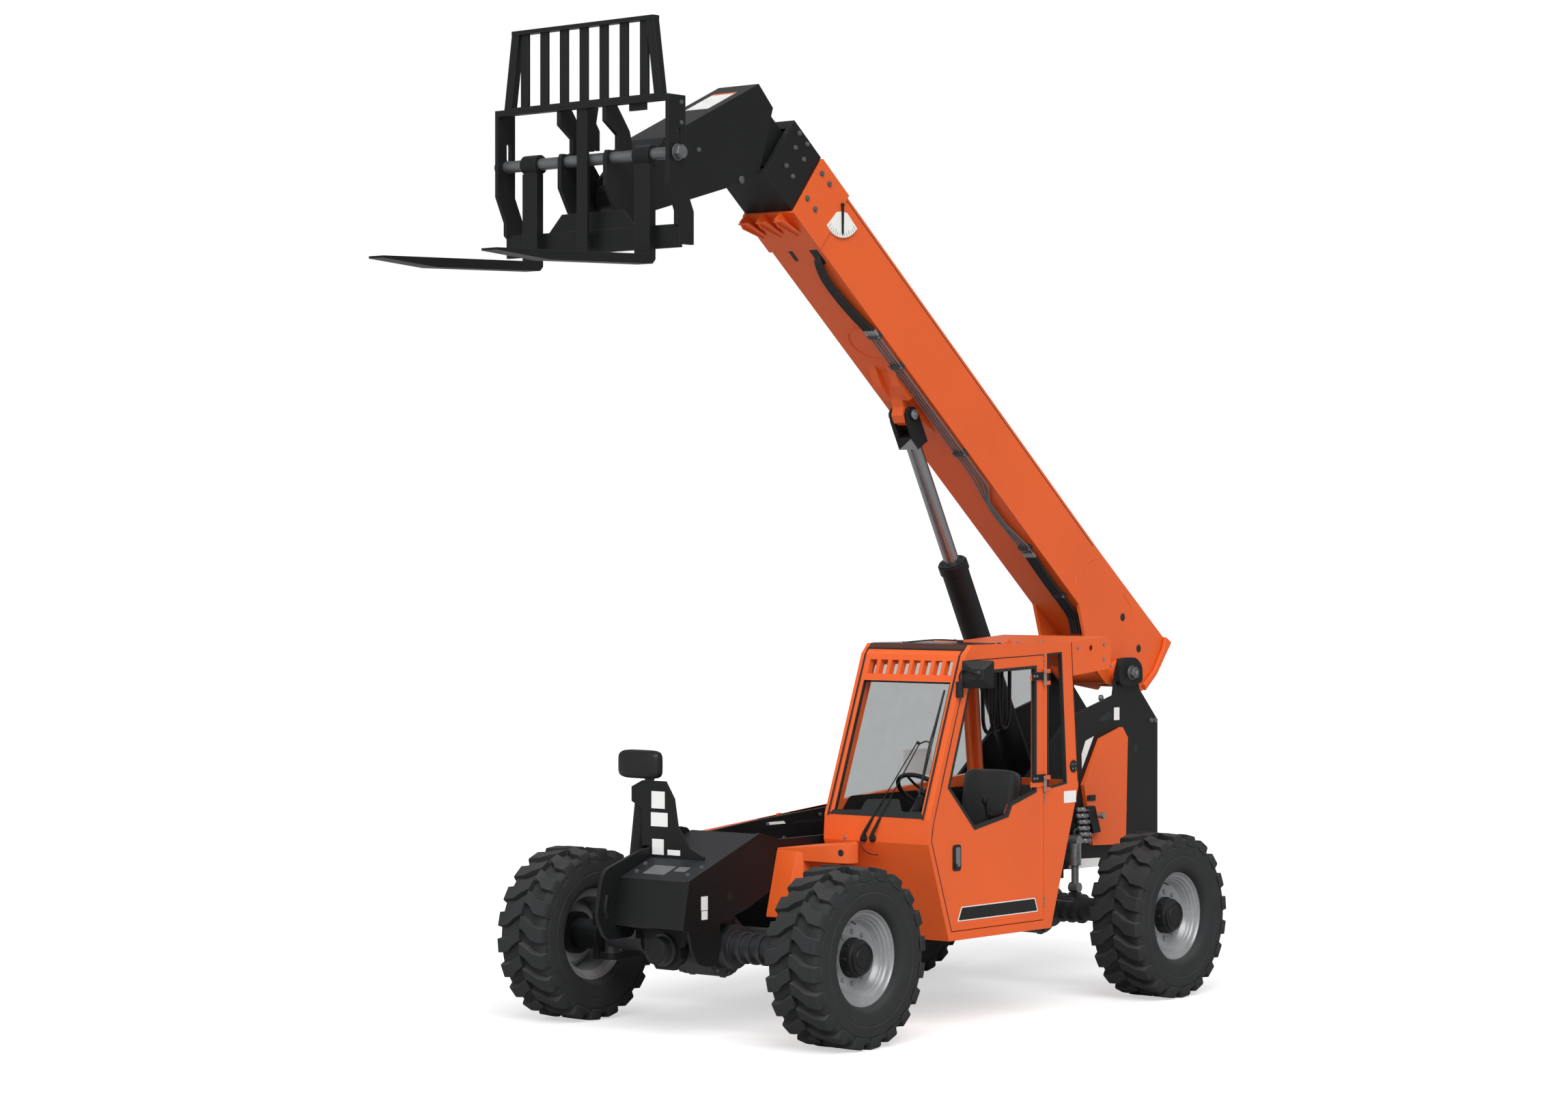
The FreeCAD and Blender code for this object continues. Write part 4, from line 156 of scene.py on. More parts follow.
# ------------------------------------------------------------------ materials
# real name, slot, colour, roughness, size of the clouds and of the grain in mm, height of
# the grain in mm, and what else the finish has: tone, spread, dust with a painted top light,
# wear with a painted edge highlight, and shader values
DULL = {"Specular IOR Level": 0.35}
FINISHES = {
    # stoved enamel on pressed sheet steel: a smooth soft gloss with faint orange peel,
    # a paler line over edges, where it thins and as a painted edge highlight, and a paler
    # film on top that is dust and a painted top light
    "orange_enamel": ("orange stoved enamel", "paint_orange", "orange", 0.42, 700, 9, 0.12, {
        "tone": 0.045, "dust": ("#F08A5C", 0.35), "worn": ("#F7793F", 3), **DULL}),
    # polyester powder coat on plate steel: fine dimples, satin, greyed on top faces by dust
    # and a painted top light, paler on edges by wear and a painted edge highlight;
    # the dimples are really 1 mm and are drawn at 6 mm so that they show
    "black_powder": ("black powder coat", "paint_black", "black", 0.5, 420, 6, 0.25, {
        "tone": 0.12, "dust": ("#4E4F53", 0.5), "worn": ("#454648", 3), "Specular IOR Level": 0.25}),
    # sprayed grey enamel on a rolled steel rim: satin, with brake dust clouds, and paler edges
    # of wear and a painted edge highlight
    "rim_enamel": ("grey rim enamel", "rim_grey", "rim", 0.36, 90, 5, 0.2, {
        "tone": 0.10, "worn": ("#B9BBBD", 2), "Metallic": 0.25}),
    # carbon-black vulcanised rubber: matt and slightly chalky, greyed on what faces up by
    # dust and a painted top light, and paler on edges by wear and a painted edge highlight
    "tyre_rubber": ("vulcanised tyre rubber", "tyre", "rubber", 0.82, 160, 7, 0.6, {
        "tone": 0.16, "dust": ("#5A5A58", 0.6), "worn": ("#474848", 5), "Specular IOR Level": 0.3}),
    # wrapped nitrile hose: near black with a soft sheen along its length
    "hose_rubber": ("wrapped nitrile hose", "hose_rubber", "#17181A", 0.45, 60, 3, 0.3, {"tone": 0.2}),
    # extruded EPDM section: dark, even and dull
    "seal_rubber": ("extruded EPDM seal", "hose_rubber", "#15191A", 0.6, 120, 4, 0.2, {"tone": 0.12}),
    # hard chrome ground and polished: bright and nearly even along the bar
    "chromed_rod": ("hard chrome plate", "pin_steel", "#8E9092", 0.22, 60, 4, 0.05, {
        "tone": 0.05, "spread": 0.05, "Metallic": 0.9}),
    # drawn steel bar, oiled: mid grey, duller than chrome
    "turned_bar": ("oiled steel bar", "pin_steel", "#6E7072", 0.42, 90, 4, 0.1, {
        "tone": 0.08, "Metallic": 0.6}),
    # zinc-plated bolts and fittings: pale grey, blotched where it was handled
    "zinc_steel": ("zinc plated steel", "pin_steel", "#8E9092", 0.4, 25, 2, 0.15, {
        "tone": 0.15, "Metallic": 0.75}),
    # phosphated hydraulic tube: grey with a dull sheen
    "tube_steel": ("phosphated hydraulic tube", "line_steel", "#77797C", 0.42, 40, 3, 0.1, {
        "tone": 0.12, "Metallic": 0.3}),
    # bolts under the powder coat: grey where the socket rubbed the paint
    "dark_bolt": ("rubbed bolt head", "pin_steel", "#5C5E61", 0.45, 14, 2, 0.2, {
        "tone": 0.2, "Metallic": 0.4}),
    # injection-moulded ABS: spark-eroded grain (0.5 mm, drawn at 3 mm) that scatters highlights;
    # its paler edges are wear and a painted edge highlight
    "moulded_black": ("moulded black ABS", "black_plastic", "#151617", 0.48, 200, 3, 0.25, {
        "tone": 0.08, "worn": ("#2E2F30", 2), **DULL}),
    # grained grey polypropylene of the dash: paler than the housings, quite matt
    "console_grey": ("grained grey polypropylene", "paint_black", "#6A6B6D", 0.6, 180, 3, 0.3, {
        "tone": 0.08}),
    # sand-cast iron under black paint: pebbly skin with soft highlights, and paler edges of
    # wear and a painted edge highlight
    "cast_grey": ("painted sand casting", "paint_black", "#2A2B2D", 0.45, 120, 9, 0.9, {
        "tone": 0.18, "worn": ("#6A6C6E", 4)}),
    # printed vinyl film left blank: even white with a soft gloss
    "label_film": ("blank vinyl label", "dial_white", "label", 0.35, 80, 12, 0.05, {"tone": 0.03}),
    # black vinyl film: smoother and glossier than the paint round it
    "label_black": ("blank black film", "paint_black", "#0C0D0E", 0.35, 200, 12, 0.05, {
        "tone": 0.1, "Specular IOR Level": 0.3}),
    # calendered PVC leathercloth: 2 mm pebble grain drawn at 5 mm, dull sheen
    "seat_vinyl": ("pebbled seat vinyl", "seat_vinyl", "#1A1C1F", 0.55, 120, 5, 0.8, {
        "tone": 0.12, "Sheen Weight": 0.15}),
    # screen-printed polyester: an even, slightly warm white for the dial's face
    "dial_film": ("dial face film", "dial_white", "#EDEDE8", 0.4, 90, 10, 0.05, {"tone": 0.03}),
    # silvered convex glass: a clear bright reflection
    "mirror_face": ("silvered mirror glass", "glass", "#C9CCCE", 0.05, 300, 60, 0.01, {
        "tone": 0.02, "spread": 0.02, "Metallic": 1.0}),
    # bronze-tinted roof pane over the dark headlining: glossy, nearly opaque
    "roof_tint": ("bronze tinted roof pane", "glass", "#4A2A20", 0.18, 300, 40, 0.02, {
        "tone": 0.12, "spread": 0.05}),
}
GLASS = "tinted tempered glass"

# nodes that keep their solid's own shape, by finish
CARRIED_OVER = {
    "orange_enamel": "cab_shell cab_door hose_cover fender_front_left rear_side_cover engine_hood base_boom",
    "black_powder": "frame_left frame_right front_deck belly_floor tower_floor front_post engine_tray "
                    "mid_boom fly_boom fork_carriage backrest fork_left fork_right lift_barrel "
                    "sway_cylinder knuckle_front_left knuckle_front_right knuckle_rear_left "
                    "knuckle_rear_right tilt_pin",
    "cast_grey": "front_axle rear_axle engine_block",
    "chromed_rod": "lift_rod",
    "turned_bar": "fork_shaft",
    "zinc_steel": "boom_pivot_pin lift_foot_pins valve_block stabiliser_cylinder boom_lines",
    "console_grey": "dash_console",
    "moulded_black": "steering_wheel cab_mirror front_mirror",
    "seat_vinyl": "seat",
    "dial_film": "angle_dial",
    "hose_rubber": "hose_loops",
    GLASS: "cab_windows door_window",
    "tyre_rubber": " ".join("tyre_" + wheel[0] for wheel in WHEELS),
    "rim_enamel": " ".join("rim_" + wheel[0] for wheel in WHEELS),
}


def put(tree, kind, settings, links=()):
    """Add a node with its settings and its incoming links."""
    node = tree.nodes.new(kind)
    for key, value in settings.items():
        if key == "stops":
            for stop, (place, colour) in zip(node.color_ramp.elements, value):
                stop.position, stop.color = place, colour
        elif isinstance(key, str) and hasattr(node, key):
            setattr(node, key, value)
        else:
            node.inputs[key].default_value = value
    for key, source in dict(links).items():
        tree.links.new(source, node.inputs[key])
    return node


def cleared(block):
    """Empty node tree of a new material or world."""
    block.use_nodes = True
    block.node_tree.nodes.clear()
    return block.node_tree


def shade(colour, share):
    return tuple(min(1, c * share) for c in colour[:3]) + (1,)


def material(key):
    """Surface with cloudy tone, grain, dust and a painted top light on what faces up, and wear and a painted
    highlight on its edges.
    """
    name = GLASS if key == GLASS else FINISHES[key][0]
    made = bpy.data.materials.get(name)
    if made:
        return made
    made = bpy.data.materials.new(name)
    tree = cleared(made)
    if key == GLASS:
        glaze(made, tree)
        return made
    _, _, colour, rough, tone_mm, grain_mm, grain_high, more = FINISHES[key]
    colour = linear(colour) if colour[0] == "#" else tuple(getattr(bpy.context.scene.forklift_colours, colour))
    tone, spread = more.get("tone", 0.07), more.get("spread", 0.08)
    where = put(tree, "ShaderNodeTexCoord", {}).outputs["Object"]
    clouds = put(tree, "ShaderNodeTexNoise", {"Scale": 1000 / tone_mm, "Detail": 4.0, "Roughness": 0.6},
                 {"Vector": where}).outputs["Fac"]
    grain = put(tree, "ShaderNodeTexNoise", {"Scale": 1000 / grain_mm, "Detail": 2.0}, {"Vector": where})
    base = put(tree, "ShaderNodeValToRGB", {"stops": [(0.3, shade(colour, 1 - tone)),
                                                      (0.7, shade(colour, 1 + tone))]}, {"Fac": clouds})
    if "dust" in more or "worn" in more:
        facing = put(tree, "ShaderNodeNewGeometry", {}).outputs["Normal"]
    # paler on what faces up: dust, and a painted top light
    if "dust" in more:
        tint, share = more["dust"]
        lift = put(tree, "ShaderNodeSeparateXYZ", {}, {0: facing}).outputs["Z"]
        layer = put(tree, "ShaderNodeMapRange", {"From Min": 0.35, "From Max": 1.0, "To Min": 0.0,
                                                 "To Max": share}, {"Value": lift}).outputs[0]
        patchy = put(tree, "ShaderNodeMath", {"operation": "MULTIPLY"}, {0: layer, 1: clouds}).outputs[0]
        base = put(tree, "ShaderNodeMixRGB", {"Color2": linear(tint)},
                   {"Fac": patchy, "Color1": base.outputs["Color"]})
    # paler line along the edges: wear, and a painted edge highlight
    if "worn" in more:
        tint, width = more["worn"]
        soft = put(tree, "ShaderNodeBevel", {"samples": 4, "Radius": width * MM}).outputs[0]
        same = put(tree, "ShaderNodeVectorMath", {"operation": "DOT_PRODUCT"}, {0: soft, 1: facing})
        edge = put(tree, "ShaderNodeMapRange", {"From Min": 0.99, "From Max": 0.86, "To Min": 0.0,
                                                "To Max": 0.7}, {"Value": same.outputs["Value"]}).outputs[0]
        base = put(tree, "ShaderNodeMixRGB", {"Color2": linear(tint)},
                   {"Fac": edge, "Color1": base.outputs["Color"]})
    gloss = put(tree, "ShaderNodeMapRange", {"From Min": 0.3, "From Max": 0.7, "To Min": max(0.02, rough - spread),
                                             "To Max": min(1.0, rough + spread)}, {"Value": clouds})
    relief = put(tree, "ShaderNodeBump", {"Strength": 0.6, "Distance": grain_high * MM},
                 {"Height": grain.outputs["Fac"]})
    shader = {socket: value for socket, value in more.items() if socket[0].isupper()}
    body = put(tree, "ShaderNodeBsdfPrincipled", shader,
               {"Base Color": base.outputs["Color"], "Roughness": gloss.outputs[0], "Normal": relief.outputs[0]})
    put(tree, "ShaderNodeOutputMaterial", {}, {"Surface": body.outputs[0]})
    made.diffuse_color = colour
    return made


def glaze(made, tree):
    """Tempered glass, tinted grey in the mass; dirt shows only as a change of gloss."""
    where = put(tree, "ShaderNodeTexCoord", {})
    # wiped streaks about 90 mm wide
    film = put(tree, "ShaderNodeTexNoise", {"Scale": 1000 / 90, "Detail": 3.0},
               {"Vector": where.outputs["Object"]}).outputs["Fac"]
    gloss = put(tree, "ShaderNodeMapRange", {"To Min": 0.0, "To Max": 0.05}, {"Value": film})
    tint = put(tree, "ShaderNodeValToRGB", {"stops": [(0.2, linear("#E4E6E6")), (0.8, linear("#E9EBEB"))]},
               {"Fac": film})
    pane = put(tree, "ShaderNodeBsdfPrincipled",
               {"Transmission Weight": 1.0, "IOR": 1.01, "Specular IOR Level": 0.5},
               {"Base Color": tint.outputs["Color"], "Roughness": gloss.outputs[0]})
    put(tree, "ShaderNodeOutputMaterial", {}, {"Surface": pane.outputs[0]})
    made.diffuse_color = (0.7, 0.7, 0.7, 0.4)


# ------------------------------------------------------------------ mesh work
def skin(bm, rings, paint=0, round_trip=False):
    """Skin closed rings of points in turn; cap the ends unless the rings meet."""
    loops = [[bm.verts.new(p) for p in ring] for ring in rings]
    faces = []
    for low, high in list(zip(loops, loops[1:])) + ([(loops[-1], loops[0])] if round_trip else []):
        for i in range(len(low)):
            j = (i + 1) % len(low)
            faces.append(bm.faces.new((low[i], low[j], high[j], high[i])))
    if not round_trip:
        faces += [bm.faces.new(loops[0][::-1]), bm.faces.new(loops[-1])]
    for face in faces:
        face.material_index = paint


def plate(bm, outline, normal, low, high, paint=0):
    """Flat plate on an outline of points, from low to high millimetres along its normal."""
    n = Vector(normal).normalized() * MM
    skin(bm, [[p + n * low for p in outline], [p + n * high for p in outline]], paint)


def rounded(corners, radius, steps=4):
    """Outline with its corners turned on a radius in metres."""
    out = []
    for i, p in enumerate(corners):
        a, b = corners[i - 1] - p, corners[(i + 1) % len(corners)] - p
        reach = min(radius, a.length * 0.48, b.length * 0.48)
        a, b = p + a.normalized() * reach, p + b.normalized() * reach
        for t in (k / steps for k in range(steps + 1)):
            out.append(a * (1 - t) ** 2 + p * 2 * t * (1 - t) + b * t * t)
    return out


def square(centre, across, up, wide, high):
    """Four corners of a rectangle about a centre, in millimetres."""
    a, u = Vector(across).normalized() * wide * MM / 2, Vector(up).normalized() * high * MM / 2
    return [centre - a - u, centre + a - u, centre + a + u, centre - a + u]


def card(bm, centre, facing, wide, high, low, top, corner=0, paint=0, steps=4):
    """Rectangular plate about a centre, its corners turned on a radius in millimetres."""
    across, up, normal = facing
    outline = square(centre, across, up, wide, high)
    plate(bm, rounded(outline, corner * MM, steps) if corner else outline, normal, low, top, paint)


def strip(bm, corners, normal, outward, inward, low, high):
    """Flat ring round an outline, from outward to inward millimetres of its line."""
    n = Vector(normal).normalized()
    middle = sum(corners, Vector()) / len(corners)

    def offset(reach, rise):
        out = []
        for i, p in enumerate(corners):
            a = (p - corners[i - 1]).normalized().cross(n)
            b = (corners[(i + 1) % len(corners)] - p).normalized().cross(n)
            out.append(p + (a + b) / (1 + a.dot(b)) * reach * MM + n * rise * MM)
        return out

    turn = sum((p - middle).cross(q - middle).dot(n) for p, q in zip(corners, corners[1:] + corners[:1]))
    sign = 1 if turn > 0 else -1
    skin(bm, [offset(sign * reach, rise) for reach, rise in ((outward, low), (outward, high), (-inward, high),
                                                             (-inward, low))], round_trip=True)


def turned(bm, origin, axis, profile, steps=32, paint=0, turn=0.0):
    """Revolve (radius, height) pairs in millimetres about an axis."""
    axis = Vector(axis).normalized()
    side = axis.orthogonal().normalized()
    other = axis.cross(side)
    skin(bm, [[origin + axis * h * MM + (side * math.cos(a) + other * math.sin(a)) * max(r, 0.01) * MM
               for a in turns(steps, turn)] for r, h in profile], paint)


def revolved(hub, out, section, steps):
    """Rings of a closed section of (radius, width) pairs round a wheel's axis."""
    return [[hub + out * w * MM + spoke(a, r * MM) for a in turns(steps)] for r, w in section]


def bolt(bm, origin, axis, size=None, paint=0):
    """Washer and hexagon head standing on a face."""
    size = (size or bpy.context.scene.forklift_sizes.bolt_size) / MM
    turned(bm, origin, axis, [(size * 0.62, -1), (size * 0.62, 1.6), (size * 0.58, 2.2)], 20, paint)
    turned(bm, origin, axis, [(size * 0.56, 2), (size * 0.56, size * 0.36), (size * 0.46, size * 0.44)],
           6, paint, 0.3)


def smooth_path(points, per=8):
    """Catmull-Rom points through a given path."""
    pts = [points[0] * 2 - points[1]] + list(points) + [points[-1] * 2 - points[-2]]
    out = []
    for a, b, c, d in zip(pts, pts[1:], pts[2:], pts[3:]):
        for t in (k / per for k in range(per)):
            out.append(0.5 * (b * 2 + (c - a) * t + (a * 2 - b * 5 + c * 4 - d) * t * t
                              + (b * 3 - a - c * 3 + d) * t ** 3))
    return out + [points[-1]]


def pipe(bm, points, radius, paint=0, steps=10, ends=None):
    """Round bar along a path; ends gives the radius at its two ends if it tapers."""
    rings = []
    up = Vector((0.02, 0.03, 1)).normalized()
    for i, p in enumerate(points):
        way = (points[min(i + 1, len(points) - 1)] - points[max(i - 1, 0)]).normalized()
        side = way.cross(up)
        if side.length < 0.2:
            side = way.cross(Vector((1, 0.1, 0)))
        side.normalize()
        if rings:
            side = (last - way * last.dot(way)).normalized()
        last, other = side, way.cross(side)
        r = radius if not ends else ends[0] + (ends[1] - ends[0]) * i / (len(points) - 1)
        rings.append([p + (side * math.cos(a) + other * math.sin(a)) * r * MM for a in turns(steps)])
    skin(bm, rings, paint)


def piece(name, bm, paints, body="chassis", edge=1.5, smooth=38, replaces=()):
    """Make the object, soften its edges, and hang it on its body."""
    paints = paints.split()
    bmesh.ops.remove_doubles(bm, verts=bm.verts, dist=WELD)
    bmesh.ops.recalc_face_normals(bm, faces=bm.faces)
    mesh = bpy.data.meshes.new(name)
    bm.to_mesh(mesh)
    bm.free()
    for paint in paints:
        mesh.materials.append(material(paint))
    mesh.polygons.foreach_set("use_smooth", [True] * len(mesh.polygons))
    mesh.set_sharp_from_angle(angle=math.radians(smooth))
    thing = bpy.data.objects.new(name, mesh)
    bpy.context.scene.collection.objects.link(thing)
    if edge:
        soften = thing.modifiers.new("softened edges", "BEVEL")
        soften.width, soften.segments = edge * MM, 2
        soften.limit_method, soften.angle_limit = "ANGLE", math.radians(smooth)
        soften.harden_normals = True
    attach(thing, body)
    if replaces:
        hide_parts(*replaces)
    return thing




# ------------------------------------------------------------------ operators
class FORKLIFT_OT_stage(bpy.types.Operator):
    """Pale floor, soft lamps and the camera"""
    bl_idname = "forklift.stage"
    bl_label = "Stage"

    def execute(self, context):
        scene = context.scene
        scene.view_settings.view_transform = "Standard"
        bm = bmesh.new()
        bmesh.ops.create_grid(bm, x_segments=8, y_segments=8, size=300)
        mesh = bpy.data.meshes.new("studio_floor")
        bm.to_mesh(mesh)
        bm.free()
        floor = bpy.data.objects.new("studio_floor", mesh)
        scene.collection.objects.link(floor)
        white = bpy.data.materials.new("white studio floor")
        tree = cleared(white)
        ray = put(tree, "ShaderNodeLightPath", {})
        seen = put(tree, "ShaderNodeMath", {"operation": "MULTIPLY", 1: 0.55}, {0: ray.outputs["Is Camera Ray"]})
        base = put(tree, "ShaderNodeBsdfPrincipled",
                   {"Base Color": (0.6, 0.6, 0.6, 1), "Roughness": 1.0, "Specular IOR Level": 0.0,
                    "Emission Color": (1, 1, 1, 1)}, {"Emission Strength": seen.outputs[0]})
        put(tree, "ShaderNodeOutputMaterial", {}, {"Surface": base.outputs[0]})
        mesh.materials.append(white)

        scene.world = bpy.data.worlds.new("soft studio")
        tree = cleared(scene.world)
        ray = put(tree, "ShaderNodeLightPath", {})
        clear = put(tree, "ShaderNodeMath", {"operation": "MAXIMUM"},
                    {0: ray.outputs["Is Camera Ray"], 1: ray.outputs["Is Transmission Ray"]})
        strong = put(tree, "ShaderNodeMapRange", {"To Min": 0.40, "To Max": 1.0}, {"Value": clear.outputs[0]})
        sky = put(tree, "ShaderNodeBackground", {"Color": (1, 1, 1, 1)}, {"Strength": strong.outputs[0]})
        put(tree, "ShaderNodeOutputWorld", {}, {"Surface": sky.outputs[0]})

        for name, spot, strength, spread in (("key_lamp", (11, 12, 14), 2.7, 40),
                                             ("fill_lamp", (16, -2, 4), 0.72, 70)):
            lamp = bpy.data.lights.new(name, "SUN")
            lamp.energy, lamp.angle = strength, math.radians(spread)
            holder = bpy.data.objects.new(name, lamp)
            holder.location = spot
            holder.rotation_euler = Vector(spot).to_track_quat("Z", "Y").to_euler()
            scene.collection.objects.link(holder)

        lens = bpy.data.cameras.new("camera")
        lens.sensor_width, lens.lens, lens.clip_end = 36, 85.135, 900
        scene.camera = bpy.data.objects.new("camera", lens)
        bearing, dip = -2.4457, 0.0026          # the way the camera looks, in radians
        scene.camera.location = (18.512, 15.098, 3.028)
        scene.camera.rotation_euler = (math.pi / 2 - dip, 0, bearing - math.pi / 2)
        scene.collection.objects.link(scene.camera)
        return {"FINISHED"}


class FORKLIFT_OT_hoses(bpy.types.Operator):
    """Three hose loops that hang behind the cab, and the rack that holds them"""
    bl_idname = "forklift.hoses"
    bl_label = "Cab hoses"

    def execute(self, context):
        size = context.scene.forklift_sizes.hose_size
        roots = [(-611.03 - 42 * k, 420 + 34 * k) for k in range(3)]
        for k, (x, y) in enumerate(roots):
            low = 1780 + 16 * k
            route = [(0, 2270), (-4, low + 130), (-12, low + 60), (-34, low + 14), (-64, low),
                     (-94, low + 14), (-116, low + 60), (-124, low + 130), (-128, 2270)]
            line = bpy.data.curves.new("cab_hose_%d" % (k + 1), "CURVE")
            line.dimensions, line.resolution_u = "3D", 10
            line.bevel_depth, line.bevel_resolution, line.use_fill_caps = size / 2, 4, True
            strand = line.splines.new("NURBS")
            strand.points.add(len(route) - 1)
            for point, (dx, z) in zip(strand.points, route):
                point.co = (*at(x + dx, y, z), 1)
            strand.order_u, strand.use_endpoint_u = 3, True
            hose = bpy.data.objects.new(line.name, line)
            context.scene.collection.objects.link(hose)
            line.materials.append(material("hose_rubber"))
            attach(hose, "chassis")
            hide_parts("hose_loops")
        bm = bmesh.new()
        card(bm, at(-716, 443.3, 2250), ON_TOP, 248, 148, 0, 18, 12)
        for x, y in roots:
            for dx in (0, -128):
                turned(bm, at(x + dx, y, 2232), UP, [(17, 0), (17, 16), (15, 18)], 12, 1)
        piece("hose_rack", bm, "black_powder zinc_steel")
        return {"FINISHED"}


class FORKLIFT_OT_paint(bpy.types.Operator):
    """Finish of every panel and bar carried over from the solids"""
    bl_idname = "forklift.paint"
    bl_label = "Paint"

    def execute(self, context):
        done = set()
        for key, names in CARRIED_OVER.items():
            for name in names.split():
                mesh = frame["nodes"][name].data
                mesh.materials.clear()
                mesh.materials.append(material(key))
                done.add(name)
        # the rod's eye is painted like the barrel
        rod = frame["nodes"]["lift_rod"].data
        rod.materials.append(material("black_powder"))
        eye = on_boom(LIFT_EYE, 0, 0)
        for face in rod.polygons:
            face.material_index = int((face.center - eye).length < 0.19)
        left = set(frame["nodes"]) - done
        if left:
            raise RuntimeError("no finish for " + ", ".join(sorted(left)))
        return {"FINISHED"}


class FORKLIFT_OT_tyres(bpy.types.Operator):
    """Tyres with bulged walls and two rows of cranked lugs"""
    bl_idname = "forklift.tyres"
    bl_label = "Tyres"

    def execute(self, context):
        sizes = context.scene.forklift_sizes
        tread, count = 506, sizes.lugs_per_row
        rolling = AXLE_Z          # a wheel rolls on the radius of its hub's height
        tip = tread + sizes.lug_height / MM
        # (radius, half width) of the wall from the bead to the middle of the tread
        wall = [(292.5, 140), (300, 158), (306, 172), (318, 184), (340, 191), (372, 196), (396, 197.5),
                (399, 195), (405, 195), (408, 197.5), (440, 197), (466, 194), (470, 190),
                (500, 187), (515, 172), (519, 150), (511, 110), (tread, 70), (tread, 3)]
        # half width, the lug's two flanks along the tread, its foot and its top
        lug = ((2, -66, 14, 500, tip), (58, -40, 46, 498, tip), (100, -8, 88, 500, tip), (150, 2, 98, 505, tip),
               (182, 6, 101, 500, tip - 2), (193, 8, 102, 488, tip - 16), (197, 12, 100, 474, 500))
        for wheel, hub, out in WHEELS:
            bm = bmesh.new()
            skin(bm, revolved(hub, out, wall + [(r, -w) for r, w in reversed(wall)], 72), round_trip=True)
            for row in BOTH:
                for k in range(count):
                    middle = 2 * math.pi * (k + (0 if row > 0 else 0.5)) / count
                    skin(bm, [[hub + out * row * w * MM
                               + spoke(math.pi / 2 - middle - s / rolling, r * MM)
                               for s, r in ((s0 - 5, base), (s0 + 3, top), (s1 - 3, top), (s1 + 5, base))]
                              for w, s0, s1, base, top in lug])
            piece("tyre_lugged_" + wheel, bm, "tyre_rubber", "wheel_" + wheel, edge=4, smooth=34,
                  replaces=["tyre_" + wheel])
        return {"FINISHED"}


class FORKLIFT_OT_rims(bpy.types.Operator):
    """Rolled rims with their rings, wheel nuts and planetary hub caps"""
    bl_idname = "forklift.rims"
    bl_label = "Rims"

    def execute(self, context):
        nuts = context.scene.forklift_sizes.wheel_nuts
        section = [(291.5, -140), (291.5, 140), (284, 140), (279, 134), (276, 126), (268, 121), (259, 118),
                   (256, 110), (250, 104), (243, 100), (240, 92), (236, 86), (229, 82), (224, 72),
                   (212, 58), (206, 50), (196, 46), (190, 44), (120, 44), (120, 28), (186, 28),
                   (214, 44), (226, 60), (234, 70), (238, -96), (262, -112), (276, -124), (284, -140)]
        cap = [(134, -16), (134, 27), (119, 30), (117.5, 46), (114, 52), (114, 96), (110, 108), (98, 117),
               (94, 133), (88, 133.8), (84, 126), (60, 125), (56, 131), (0, 131)]
        for wheel, hub, out in WHEELS:
            bm = bmesh.new()
            skin(bm, revolved(hub, out, section, 64), round_trip=True)
            for a in turns(nuts, math.pi / nuts):
                bolt(bm, hub + out * 0.0435 + spoke(a, 0.156), out, 0.024, 1)
            # valve stem
            pipe(bm, [hub + out * 0.080 + Vector((0.05, 0, 0.222)), hub + out * 0.112 + Vector((0.046, 0, 0.206))],
                 4, 2, 8)
            piece("wheel_rim_" + wheel, bm, "rim_enamel zinc_steel seal_rubber", "wheel_" + wheel, edge=1,
                  smooth=25, replaces=["rim_" + wheel])
            bm = bmesh.new()
            turned(bm, hub, out, cap, 48)
            for a in turns(8):
                turned(bm, hub + out * 0.060 + spoke(a, 0.113), out, [(9, -10), (9, 26), (6, 30)], 10)
            bolt(bm, hub + out * 0.1305, out, 0.006)
            piece("hub_cap_" + wheel, bm, "black_powder", "wheel_" + wheel, edge=1.2, smooth=30)
        return {"FINISHED"}


